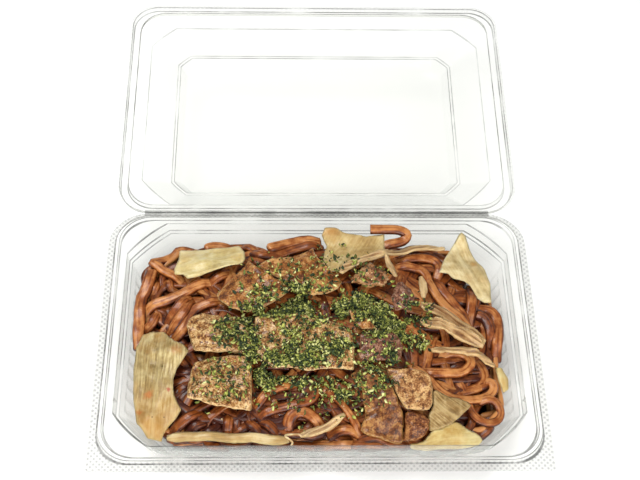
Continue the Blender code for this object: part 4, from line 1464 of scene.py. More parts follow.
def scatter_graph() -> Graph:
    """Builds the tree that strews small bits over a surface.

    Returns:
        The graph, with inputs for bits, count per area, sizes, tilt, lift, seed
        and material.
    """
    graph = Graph("strewn_bits")
    graph.take("Bits", "NodeSocketCollection")
    for name in ("Per Area", "Smallest", "Largest", "Tilt", "Lift"):
        graph.take(name, "NodeSocketFloat")
    graph.take("Seed", "NodeSocketInt")
    graph.take("Material", "NodeSocketMaterial")
    add = partial(add_node, graph.tree)
    given = add("NodeGroupInput").outputs
    shower = add("GeometryNodeInputNamedAttribute", {"Name": "shower"})
    thick = add("Math", (shower.outputs["Attribute"], given["Per Area"]), operation="MULTIPLY")
    points = add("GeometryNodeDistributePointsOnFaces", {"Mesh": given["Geometry"], "Density": thick,
        "Seed": given["Seed"]})
    bits = add("GeometryNodeCollectionInfo", {"Collection": given["Bits"], "Separate Children": True,
        "Reset Children": True})
    back = add("Math", (given["Tilt"], -1.0), operation="MULTIPLY")
    low = add("CombineXYZ", {"X": back, "Y": back, "Z": 0.0})
    high = add("CombineXYZ", {"X": given["Tilt"], "Y": given["Tilt"], "Z": 2.0 * math.pi})
    spin = add("FunctionNodeRandomValue", {0: low, 1: high, "Seed": given["Seed"]},
        data_type="FLOAT_VECTOR")
    turned = add("FunctionNodeRotateRotation", {"Rotation": points.outputs["Rotation"],
        "Rotate By": spin}, rotation_space="LOCAL")
    size = add("FunctionNodeRandomValue", {2: given["Smallest"], 3: given["Largest"],
        "Seed": given["Seed"]})
    height = add("FunctionNodeRandomValue", {2: 0.05 * MM, 3: given["Lift"], "Seed": 5})
    up = add("VectorMath", {0: points.outputs["Normal"], "Scale": height.outputs[1]}, operation="SCALE")
    raised = add("GeometryNodeSetPosition", {"Geometry": points.outputs["Points"], "Offset": up})
    placed = add("GeometryNodeInstanceOnPoints", {"Points": raised, "Instance": bits,
        "Pick Instance": True, "Rotation": turned, "Scale": size.outputs["Value"]})
    shade = add("FunctionNodeRandomValue", {2: 0.0, 3: 1.0, "Seed": 7})
    toned = add("GeometryNodeStoreNamedAttribute", {"Geometry": placed, "Name": "tone",
        "Value": shade.outputs[1]}, domain="INSTANCE")
    real = add("GeometryNodeRealizeInstances", {"Geometry": toned})
    dressed = add("GeometryNodeSetMaterial", {"Geometry": real, "Material": given["Material"]})
    add("NodeGroupOutput", {"Geometry": dressed})
    return graph


# --------------------------------------------------------------------- noodles


@dataclass(frozen=True)
class Strand:
    """One noodle that shows: its way in plan, and how it differs from the rest."""

    way: tuple[tuple[float, float], ...]
    girth: float = 1.0
    stand: tuple[float, float] = (0.0, 0.0)     # its ends' height above what is below
    free: tuple[bool, bool] = (False, False)    # ends that stay in sight
    tone: float = 0.0


class Ground:
    """Heights inside the tray on a square grid: what lies there and what must stay above."""

    PITCH = 0.75
    OPEN = 99.0     # height of the roof where nothing lies above

    def __init__(self, pack: Pack, heap: PlanSurface) -> None:
        """Starts with the bare tray.

        Args:
            pack: The tray.
            heap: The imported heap, which bounds what is laid.
        """
        self.x = np.arange(-96.0, 96.1, self.PITCH)
        self.y = np.arange(-65.0, 66.1, self.PITCH)
        gx, gy = np.meshgrid(self.x, self.y, indexing="ij")
        self.places = np.column_stack([gx.ravel(), gy.ravel()])
        self.z = pack.floor_height(self.places).reshape(gx.shape)
        self.heap = heap.heights(self.places).reshape(gx.shape)
        self.roof = np.full(gx.shape, self.OPEN)

    def cells(self, xy: np.ndarray) -> tuple[np.ndarray, np.ndarray]:
        """Grid numbers of the nearest cell to each place."""
        i = np.rint((xy[..., 0] - self.x[0]) / self.PITCH).astype(int)
        j = np.rint((xy[..., 1] - self.y[0]) / self.PITCH).astype(int)
        return np.clip(i, 0, len(self.x) - 1), np.clip(j, 0, len(self.y) - 1)

    def cover(self, surface: PlanSurface, gap: float) -> None:
        """Keeps what is laid later below a topping.

        Args:
            surface: The topping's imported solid.
            gap: Least distance under it.
        """
        near = inside(surface.outline, self.places)
        near |= edge_distance(surface.outline, self.places) < 0.8
        if near.any():
            under = surface.heights(self.places[near], upper=False) - gap
            flat = self.roof.ravel()
            flat[near] = np.minimum(flat[near], under)

    def raise_to(self, xyz: np.ndarray) -> None:
        """Lifts the ground to a cloud of points."""
        i, j = self.cells(xyz)
        np.maximum.at(self.z, (i, j), xyz[..., 2])

    def raise_to_piece(self, obj: bpy.types.Object) -> None:
        """Lifts the ground to the upper side of a finished piece."""
        co = np.array([v.co for v in obj.data.vertices]) / MM
        self.raise_to_faces(co, [tuple(p.vertices) for p in obj.data.polygons])

    def raise_to_faces(self, co: np.ndarray, faces: Sequence[Sequence[int]]) -> None:
        """Lifts the ground to the upper side of some faces.

        Args:
            co: Their points in millimetres.
            faces: Corner numbers of each face.
        """
        tree = BVHTree.FromPolygons(co.tolist(), faces)
        low, high = co[:, :2].min(axis=0), co[:, :2].max(axis=0)
        near = np.nonzero(((self.places >= low) & (self.places <= high)).all(axis=1))[0]
        flat, down = self.z.ravel(), Vector((0.0, 0.0, -1.0))
        for k in near:
            hit = tree.ray_cast(Vector((*self.places[k], ABOVE_ALL)), down)[0]
            if hit is not None:
                flat[k] = max(flat[k], hit.z)


# The ways of the noodles that show, lowest first in each part of the tray.
LEFT = (
    Strand(((-75, 17), (-77, 10), (-81, 6), (-83, 3))),
    Strand(((-77.5, 37.5), (-77, 32.5), (-78, 28), (-80, 25))),
    Strand(((-75, 33), (-71, 33.5), (-70, 29.5), (-66, 28.5)), 0.8),
    Strand(((-44, 20), (-50, 18), (-56, 15.5), (-59.5, 11), (-61.5, 5.5), (-64.5, 1.5), (-68.5, -1)),
        1.1),
    Strand(((-58, 22), (-60.5, 18), (-62, 13), (-64.5, 9), (-67.5, 5), (-69.5, 2.5)), 1.05),
    Strand(((-60, 23), (-62.5, 19.5), (-65, 15.5), (-68, 11.5), (-70.5, 8)), 1.1),
    Strand(((-81.5, 47), (-83, 41), (-84.5, 35), (-86, 30.5)), 0.95, (3.0, 0.0)),
    Strand(((-41, 37), (-45, 34), (-49, 31.5), (-53, 29)), 1.1),
    Strand(((-50, 31.5), (-54, 30), (-58, 28), (-61, 25.5), (-66, 23), (-71.5, 21), (-76.5, 19.5),
        (-80, 17.5), (-81.5, 15)), 1.12, tone=0.5),
    Strand(((-59.5, 51.3), (-64, 52.8), (-69, 53.5), (-74, 54.5), (-77.5, 54.3), (-79.5, 52),
        (-81, 48.5), (-80, 45), (-77, 42.5), (-73.5, 39.5), (-69.5, 37), (-66, 34), (-63, 31.5)), 1.05,
        (2.0, 0.0), tone=0.3),
    Strand(((-79.5, 41), (-80, 36), (-80.8, 31), (-82, 27), (-84.5, 22.5), (-87, 18.5), (-88.3, 14),
        (-88.2, 9), (-87, 4), (-85, -0.5), (-83.5, -3.5)), 1.25, (0.0, 2.5), (False, True), 0.2),
)
REAR = (
    Strand(((-54.5, 51), (-50, 52.8), (-45, 52.3), (-39, 50.8)), 1.15, (2.0, 2.0), (True, False), 0.5),
    Strand(((-34.5, 45), (-28, 42.5), (-22, 43)), 1.2),
    Strand(((-37.5, 50.5), (-35, 53.5), (-32, 51.5), (-28, 49.5)), 0.95),
    Strand(((-32, 49), (-27, 45.5), (-20, 46.5), (-12, 50.5), (-3, 52.5), (3, 52)), 1.1, (0.0, 1.0),
        tone=-0.3),
    Strand(((-24, 49), (-16, 53), (-8, 56), (-2, 57.5), (2, 57.5)), 1.15, (1.0, 3.5), (True, False),
        0.4),
    Strand(((40, 51), (47, 52), (54, 51.5), (60, 50.5)), 0.9),
)
RIGHT_REAR = (
    Strand(((64, 31), (62.5, 26), (61, 22)), 1.0),
    Strand(((73, 27.5), (75, 23.5), (73.5, 18), (71.5, 14)), 0.9, tone=-0.5),
    Strand(((72.5, 30), (72.5, 24), (71.8, 18), (70.8, 12), (69.8, 7)), 1.1),
    Strand(((73.5, 14), (77, 12), (79.2, 8), (79.8, 2), (79.5, -4)), 1.1, tone=-0.6),
    Strand(((74.5, 17.5), (79.5, 17), (83, 14), (83.8, 9), (83.2, 3), (82, -3), (81.8, -9)), 1.15),
    Strand(((54, 33), (56.5, 30), (59.5, 24), (63.5, 18.5), (67.5, 12.5), (70, 7)), 1.0, tone=-0.2),
    Strand(((36, 39.5), (43, 39), (49, 37.5), (52, 33.5), (53.5, 28.5)), 1.05),
    Strand(((36, 44), (44, 44.5), (51, 45.5), (56, 44.5), (58.5, 41), (58, 37), (56, 33)), 1.1),
    Strand(((52, 33), (52.5, 31), (54, 25.5), (57, 20), (61, 15), (65.5, 10), (70, 4), (72.5, 0.5)), 1.0,
        tone=0.6),
)
RIGHT_FRONT = (
    Strand(((81, -9), (81.5, -15), (81.5, -21), (82, -27)), 0.9, tone=-0.4),
    Strand(((62, -21), (64, -25), (65.5, -29)), 1.0, tone=0.3),
    Strand(((69, -25), (73, -23.5), (77, -21)), 1.0),
    Strand(((68.5, -42), (69, -46), (71.5, -49.5)), 1.0, tone=-0.6),
    Strand(((77.5, -41), (78.5, -45), (77.5, -49), (74, -51.5)), 1.15, tone=-0.2),
    Strand(((56, -11), (57, -15.5), (58, -19)), 0.9),
    Strand(((45, -17.5), (50, -19.3), (57, -19), (63, -18.3), (67, -16), (69, -12.5), (66, -8.8),
        (60, -8.5), (54, -9.5)), 1.05, tone=0.4),
    Strand(((38, -13), (41, -17), (46, -20.5), (50, -24.5), (54, -28.5), (59, -31.3), (65, -31.7),
        (71, -30.7), (76, -28.5), (78.5, -25), (77.5, -21.5), (73, -20.5)), 0.92, tone=0.4),
    Strand(((66.3, -32.5), (67, -36.5), (69.8, -40.3), (74.5, -41.8), (79, -39.8), (80.8, -35.8),
        (79, -32), (74.5, -30.8), (70.5, -32)), 0.85, tone=0.3),
)
FRONT = (
    Strand(((-58, -3), (-62, -5.5), (-64.5, -10), (-66, -14)), 0.9, tone=-0.4),
    Strand(((-65, -27), (-61, -25), (-57, -22)), 1.0, tone=0.2),
    Strand(((-50, -41), (-55, -44), (-60, -47.5)), 1.0, tone=-0.8),
    Strand(((-44, -42), (-49, -46), (-55, -49)), 0.9, tone=-0.8),
    Strand(((-52, -36.5), (-56, -39), (-60, -41.5), (-64, -44.5), (-66.5, -47)), 1.1, tone=-0.1),
    Strand(((-37, -38), (-37, -42), (-37, -47)), 1.0),
    Strand(((-40.5, -38), (-40.5, -42), (-41, -48.5)), 1.1, tone=0.3),
    Strand(((-32, -40), (-31, -43), (-27.5, -46), (-25, -48.5)), 1.0, tone=0.3),
    Strand(((-39.7, -47.5), (-36.3, -46.5), (-33.3, -44.3), (-32, -42)), 0.9, tone=-0.2),
    Strand(((-30, -50), (-24, -52), (-17, -53), (-10, -53)), 1.1, tone=-0.5),
    Strand(((-21, -54), (-13, -54.5), (-5, -54), (3, -54.5)), 1.0, tone=-0.3),
    Strand(((10, -54), (18, -54), (26, -54.5), (34, -54)), 1.0, tone=-0.3),
    Strand(((16, -51), (24, -50), (32, -52), (39, -51.5)), 1.1, tone=-0.4),
    Strand(((-4, -52.5), (2, -53), (8, -52), (16, -52.5)), 1.1, tone=0.2),
    Strand(((3, -48), (8, -46.5), (14, -47), (19, -48.5)), 1.1, tone=0.2),
    Strand(((-27, -41), (-23.5, -43.5), (-20, -46.5), (-16.5, -49)), 1.0, tone=0.3),
    Strand(((-14, -46.5), (-14, -42.5), (-11.5, -39.2), (-7.5, -38.5), (-3.5, -40.5), (0.5, -44),
        (2, -46)), 1.2, tone=0.4),
    Strand(((-3, -25), (1, -28), (4.5, -30.5), (8.5, -33.5), (11, -37), (13.5, -41), (16, -45.5),
        (18.5, -50)), 0.85, tone=0.2),
    Strand(((-3.5, -24), (-2.3, -28), (-2.5, -31.5), (-6, -34.5), (-12, -35.8), (-19, -37.3),
        (-26, -39.5), (-28.5, -41.5)), 0.95, tone=0.1),
    Strand(((-30, -37), (-26.5, -33.5), (-23.5, -30), (-19, -27.8), (-14, -26.3), (-9.5, -24.5)), 0.95,
        tone=0.1),
)


CURL = Strand(((-8.4, -50.6), (-9.2, -49.6), (-11.0, -48.5), (-13.4, -48.1), (-15.2, -48.7),
    (-15.4, -49.8), (-14.4, -50.6), (-12.8, -51.1), (-12.2, -51.9), (-13.2, -52.6)), 0.24,
    free=(True, True), tone=1.0)


@dataclass
class NoodleBed:
    """The noodles: a core drawn near black as painted shade, a tangle that fills the tray and the
    strands that show.
    """

    pack: Pack
    toppings: Toppings
    width: float = 4.6
    thickness: float = 2.9
    corner: float = 1.2
    end_dive: float = 3.2           # how deep a covered end goes between the others
    dive_run: float = 7.0
    tip: float = 1.6                # length of the rounded ends
    blunt: float = 0.35             # girth at the very end
    core_depth: float = 10.5
    core_inset: float = 9.0
    tangle_count: int = 92
    tangle_tries: int = 7           # ways tried for each, of which the emptiest is taken
    tangle_step: float = 2.3
    tangle_top: float = 3.4         # the tangle stays this far under the heap's face
    strand_step: float = 1.4
    seed: int = 29
    roof_gap: float = 0.25
    wall_levels: tuple[float, ...] = (3.4, 7.6, 11.6, 14.8)
    wall_gap: float = 4.2
    wall_front: float = -44.5
    loose: float = 2.4              # how far a strand may stand above the heap's face
    darkened_places: tuple[tuple[float, ...], ...] = (   # dark places: x, y, reach in x and y, share
        (-32.0, -44.0, 24.0, 7.0, 0.9), (66.0, -42.0, 9.0, 9.0, 0.7),
        (-62.0, -22.0, 7.0, 12.0, 0.8), (0.0, -34.0, 22.0, 6.0, 0.25),
    )

    def build(self) -> None:
        """Makes the core, the tangle, the shown strands and the raised end."""
        self.rng = np.random.default_rng(self.seed)
        heap = PlanSurface("noodle_heap")
        self.ground = Ground(self.pack, heap)
        for node in self.toppings.nodes:
            self.ground.cover(PlanSurface(node), self.roof_gap)
        noodle = FriedNoodle().build()
        # Painted shade: the core's near-black colours stand in for the shade deep between the noodles
        sauce = FriedNoodle(name="shade_dark_noodle_core", dark="#1E0D07", middle="#34170B",
            light="#5A2C14").build()
        graph = strand_graph()
        core = self.build_core(heap, sauce)
        finish_piece(core, Body.TRAY, Slot.NOODLE, "noodle_heap")
        lines = self.lay_tangle()
        lines += self.lay_walls()
        deep = self.spin("noodle_tangle", graph, lines, noodle)
        finish_piece(deep, Body.TRAY, Slot.NOODLE)
        lines = [self.lay(s, self.strand_step) for zone in (FRONT, LEFT, REAR, RIGHT_REAR, RIGHT_FRONT)
            for s in zone]
        shown = self.spin("noodles_on_top", graph, lines, noodle)
        finish_piece(shown, Body.TRAY, Slot.NOODLE)
        hook = self.spin("noodle_end_raised", graph, [self.hook_line()], noodle)
        finish_piece(hook, Body.TRAY, Slot.NOODLE, "noodle_hook")

    def build_core(self, heap: PlanSurface, material: bpy.types.Material) -> bpy.types.Object:
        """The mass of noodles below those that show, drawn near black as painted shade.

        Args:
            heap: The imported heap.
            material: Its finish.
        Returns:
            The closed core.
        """
        centre = heap.outline.mean(axis=0)
        span = heap.outline.max(axis=0) - heap.outline.min(axis=0)
        shrink = 1.0 - 2.0 * self.core_inset / span
        edge = spline(centre + (heap.outline - centre) * shrink, 3.0, closed=True)
        xy, tris = Topping.fill(edge, 3.0)
        count = len(edge)
        low = self.pack.floor_height(xy) + 0.35
        top = heap.heights(xy) - self.core_depth + 0.9 * ripple(xy, 6.0, 3.0)
        top = np.maximum(top, low + 1.0)
        low[:count] = top[:count] = np.maximum(0.5 * (top[:count] + low[:count]), low[:count])
        verts, faces = close_solid(xy, tris, count, top, low)
        crown = np.column_stack([xy, top])
        self.ground.raise_to(crown)
        self.ground.raise_to_faces(crown, tris.tolist())
        grain = np.column_stack([xy, np.zeros(len(xy))]) * MM
        return make_object("noodle_core", verts, faces, material,
            {"grain": np.vstack([grain, grain[count:]]), "tone": np.zeros(len(verts))})

    def wander(self) -> np.ndarray:
        """One gently curling way that stays well inside the tray."""
        rng = self.rng
        at = np.array([rng.uniform(-72.0, 72.0), rng.uniform(-44.0, 44.0)])
        heading = rng.uniform(0.0, 2.0 * math.pi)
        length = rng.uniform(60.0, 130.0)
        bend, wave = rng.uniform(-0.03, 0.03), rng.uniform(0.015, 0.06)
        period, phase = rng.uniform(28.0, 60.0), rng.uniform(0.0, 6.28)
        points = [at.copy()]
        for s in np.arange(0.0, length, 2.0):
            curve = bend + wave * math.sin(2.0 * math.pi * s / period + phase)
            out = max(abs(at[0]) / 77.0, abs(at[1] - 2.5) / 46.0, math.hypot(at[0] / 92.0, at[1] / 60.0))
            if out > 0.9:
                home = math.atan2(1.0 - at[1], -at[0])
                turn = (home - heading + math.pi) % (2.0 * math.pi) - math.pi
                curve = math.copysign(0.12, turn)
            heading += curve * 2.0
            at = at + 2.0 * np.array([math.cos(heading), math.sin(heading)])
            points.append(at.copy())
        return np.array(points)

    def lay_tangle(self) -> list[np.ndarray]:
        """Lays the hidden and half hidden noodles, always where the tray is emptiest."""
        lines = []
        for _ in range(self.tangle_count):
            ways = [self.wander() for _ in range(self.tangle_tries)]
            depth = []
            for way in ways:
                i, j = self.ground.cells(way)
                depth.append(float((self.ground.heap[i, j] - self.ground.z[i, j]).mean()))
            way = ways[int(np.argmax(depth))]
            strand = Strand(tuple(map(tuple, way)), self.rng.uniform(0.92, 1.12),
                tone=self.rng.uniform(-1.0, 0.4))
            lines.append(self.lay(strand, self.tangle_step, self.tangle_top))
        return lines

    def lay_walls(self) -> list[np.ndarray]:
        """Noodles that lie along the clear walls, in rows one above the other.

        Returns:
            Their guide rows.
        """
        rng = np.random.default_rng(self.seed + 1)
        x, y0, y1 = self.pack.half_x, self.pack.front, self.pack.rear
        corners = np.array([(-x, y0), (x, y0), (x, y1), (-x, y1), (-x, y0)])
        t = np.linspace(0.0, 4.0, 400)
        square = np.column_stack([np.interp(t, np.arange(5), corners[:, k]) for k in (0, 1)])
        lines = []
        for level in self.wall_levels:
            z = level + 1.5 * ripple(square, 24.0, level) + 0.7 * ripple(square, 9.0, level)
            inset = self.wall_gap + 0.9 * ripple(square, 13.0, level + 5.0)
            ring = self.pack.keep_inside(square, z - 1.6, inset)
            ring[:, 1] = np.maximum(ring[:, 1], self.wall_front)
            gone = np.append(0.0, np.cumsum(np.linalg.norm(np.diff(ring, axis=0), axis=1)))
            start = 0.0
            while start < gone[-1] - 30.0:
                length = min(rng.uniform(38.0, 90.0), gone[-1] - start)
                at = np.arange(start, start + length, self.tangle_step)
                part = np.column_stack([np.interp(at, gone, v) for v in (*ring.T, z)])
                edge = np.minimum(at - at[0], at[-1] - at)
                inward = 1.0 - 0.05 * (1.0 - smoothstep(0.0, 7.0, edge))
                part[:, :2] *= inward[:, None]
                # Their tone is set lighter, which offsets the painted side shade on their upright faces
                shape = np.column_stack([np.full(len(at), rng.uniform(0.86, 1.02)),
                    0.5 * math.pi + 0.5 * ripple(part[:, :2], 14.0, level),
                    np.full(len(at), rng.uniform(0.3, 1.9))])
                lines.append(self.round_ends(np.hstack([part, shape]), self.tangle_step))
                start += length + rng.uniform(-4.0, 2.0)
        return lines

    def lay(self, strand: Strand, step: float, under: Optional[float] = None) -> np.ndarray:
        """Lets one strand settle on what lies below.

        Args:
            strand: The strand.
            step: Spacing of its guide points.
            under: Keeps it this far below the heap's face.
        Returns:
            Rows of x, y, z, girth, roll and tone.
        """
        path = spline(strand.way, step)
        count = len(path)
        t = np.linspace(0.0, 1.0, count)
        width = self.width * strand.girth
        thick = self.thickness * (0.6 + 0.4 * strand.girth)
        rise = strand.stand[0] * (1.0 - smoothstep(0.0, 0.45, t))
        rise = rise + strand.stand[1] * smoothstep(0.55, 1.0, t)
        z = np.full(count, 20.0)
        for _ in range(3):
            path = self.pack.keep_inside(path, z, 0.55 * width)
            base, roof = self.footprint(path, width)
            i, j = self.ground.cells(path)
            face = self.ground.heap[i, j]
            most = face - under if under is not None else face + self.loose + rise
            base = np.minimum(base + rise, np.minimum(roof, most) - thick)
            z = self.drape(base, roof - thick) + 0.5 * thick
        along = np.arange(count) * step
        for loose, gone in ((strand.free[0], along), (strand.free[1], along[::-1])):
            if not loose:
                z -= self.end_dive * (1.0 - smoothstep(0.0, self.dive_run, gone))
        z = np.maximum(z, self.pack.floor_height(path) + 0.5 * thick + 0.3)
        path = self.pack.keep_inside(path, z - 0.5 * thick, 0.55 * width)
        side = sideways(path)
        sweep = np.linspace(-1.0, 1.0, 9)
        fine = np.linspace(0, count - 1, count * 3)
        keys = np.arange(count)
        fx, fy, fz = (np.interp(fine, keys, v) for v in (path[:, 0], path[:, 1], z))
        sx, sy = (np.interp(fine, keys, side[:, k]) for k in (0, 1))
        crown = 0.5 * thick * (1.0 - np.abs(sweep) ** 2.8) ** (1 / 2.8)
        aside, ahead = (s[:, None] * sweep * 0.48 * width for s in (sx, sy))
        cloud = np.stack([fx[:, None] + aside, fy[:, None] + ahead, fz[:, None] + crown], axis=2)
        self.ground.raise_to(cloud)
        seed = float(self.rng.uniform(0.0, 50.0))
        swell = 1.0 + 0.09 * ripple(path, 9.0, seed)
        roll = 0.45 * ripple(path, 16.0, seed + 3.0)
        tone = np.full(count, strand.tone) + 0.35 * ripple(path, 18.0, seed + 9.0)
        for x, y, wide, deep, share in self.darkened_places:
            gone = ((path[:, 0] - x) / wide) ** 2 + ((path[:, 1] - y) / deep) ** 2
            tone -= share * np.exp(-gone)
        return self.round_ends(np.column_stack([path, z, strand.girth * swell, roll, tone]), step)

    def round_ends(self, rows: np.ndarray, step: float) -> np.ndarray:
        """Narrows a strand's last millimetres to blunt tips.

        Args:
            rows: Guide rows, girth in the fourth place.
            step: Their spacing.
        Returns:
            More rows, set closer at both ends.
        """
        length = (len(rows) - 1) * step
        near = np.array([0.0, 0.3, 0.8, self.tip])
        inner = np.arange(self.tip + step, length - self.tip - 0.5 * step, step)
        at = np.concatenate([near, inner, length - near[::-1]])
        full = np.arange(len(rows)) * step
        out = np.column_stack([np.interp(at, full, rows[:, k]) for k in range(rows.shape[1])])
        gone = np.clip(np.minimum(at, length - at) / self.tip, 0.0, 1.0)
        out[:, 3] *= self.blunt + (1.0 - self.blunt) * np.sqrt(1.0 - (1.0 - gone) ** 2)
        return out

    def footprint(self, path: np.ndarray, width: float) -> tuple[np.ndarray, np.ndarray]:
        """Highest ground and lowest roof across a strand at each guide point."""
        side = sideways(path)
        offsets = np.linspace(-0.4, 0.4, 5) * width
        across = path[:, None] + side[:, None] * offsets[None, :, None]
        i, j = self.ground.cells(across)
        base = np.sort(self.ground.z[i, j], axis=1)[:, -2]
        roof = self.ground.roof[i, j].min(axis=1)
        return base, roof

    @staticmethod
    def drape(base: np.ndarray, most: np.ndarray) -> np.ndarray:
        """A stiff line that lies on a rough base and sags a little between its high points."""
        z = base.copy()
        for _ in range(60):
            even = z.copy()
            even[1:-1] = 0.5 * (z[:-2] + z[2:])
            even[0], even[-1] = z[1] * 0.5 + z[0] * 0.5, z[-2] * 0.5 + z[-1] * 0.5
            z = np.minimum(np.maximum(base - 0.5, even - 0.05), np.maximum(most, base - 0.5))
        for _ in range(4):
            z[1:-1] = 0.25 * z[:-2] + 0.5 * z[1:-1] + 0.25 * z[2:]
        return z

    def add_curl(self, strand: Strand, material: bpy.types.Material) -> None:
        """Lays a last thin strand over everything that is there.

        Args:
            strand: Its way in plan.
            material: Its finish.
        """
        self.ground.roof[:] = Ground.OPEN
        self.loose = 9.0
        rows = self.lay(strand, 0.5)
        piece = self.spin("sprout_curled_tip", strand_graph(), [rows], material)
        finish_piece(piece, Body.TRAY, Slot.SPROUT)

    def hook_line(self) -> np.ndarray:
        """The noodle end that stands up at the back and curls over to the left."""
        low, high = (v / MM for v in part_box("noodle_hook"))
        back, foot, top = high.y - 2.6, low.z + 1.8, high.z - 2.3
        way = ((low.x + 6.0, low.y + 1.0, foot - 1.6), (low.x + 9.5, low.y + 2.2, foot - 0.4),
            (low.x + 13.5, low.y + 2.8, foot), (low.x + 16.6, low.y + 4.0, foot + 0.2),
            (high.x - 2.2, low.y + 6.0, foot + 1.2), (high.x - 2.9, back - 1.0, top - 1.5),
            (high.x - 6.5, back, top - 0.5), (high.x - 11.5, back, top - 0.1), (low.x + 0.5, back, top))
        path = spline(way, self.strand_step * 0.8)
        count = len(path)
        ends = np.full(count, 1.06)
        return np.column_stack([path, ends, np.zeros(count), np.full(count, 0.3)])

    def spin(self, name: str, graph: Graph, lines: list[np.ndarray],
            material: bpy.types.Material) -> bpy.types.Object:
        """Makes one piece of many strands.

        Args:
            name: The piece's name.
            graph: The strand graph.
            lines: Guide rows of x, y, z, girth, roll and tone.
            material: Their finish.
        Returns:
            The plain mesh piece.
        """
        rows = np.vstack(lines)
        starts = np.cumsum([0] + [len(line) for line in lines[:-1]])
        edges = [(int(s + k), int(s + k + 1)) for s, line in zip(starts, lines)
            for k in range(len(line) - 1)]
        carrier = make_object(name + "_guides", rows[:, :3], [], None,
            {"girth": rows[:, 3], "roll": rows[:, 4], "tone": rows[:, 5]}, edges)
        return graph.freeze(carrier, name, {"Width": self.width * MM, "Thickness": self.thickness * MM,
            "Corner": self.corner * MM, "Material": material})


# --------------------------------------------------------------------- garnish


@dataclass(frozen=True)
class Shower:
    """How one kind of bit is strewn."""

    piece: str
    per_cm2: float
    smallest: float     # scale of the smallest bit
    largest: float
    tilt: float         # most lean out of the surface, in radians
    lift: float         # most height above it
    seed: int


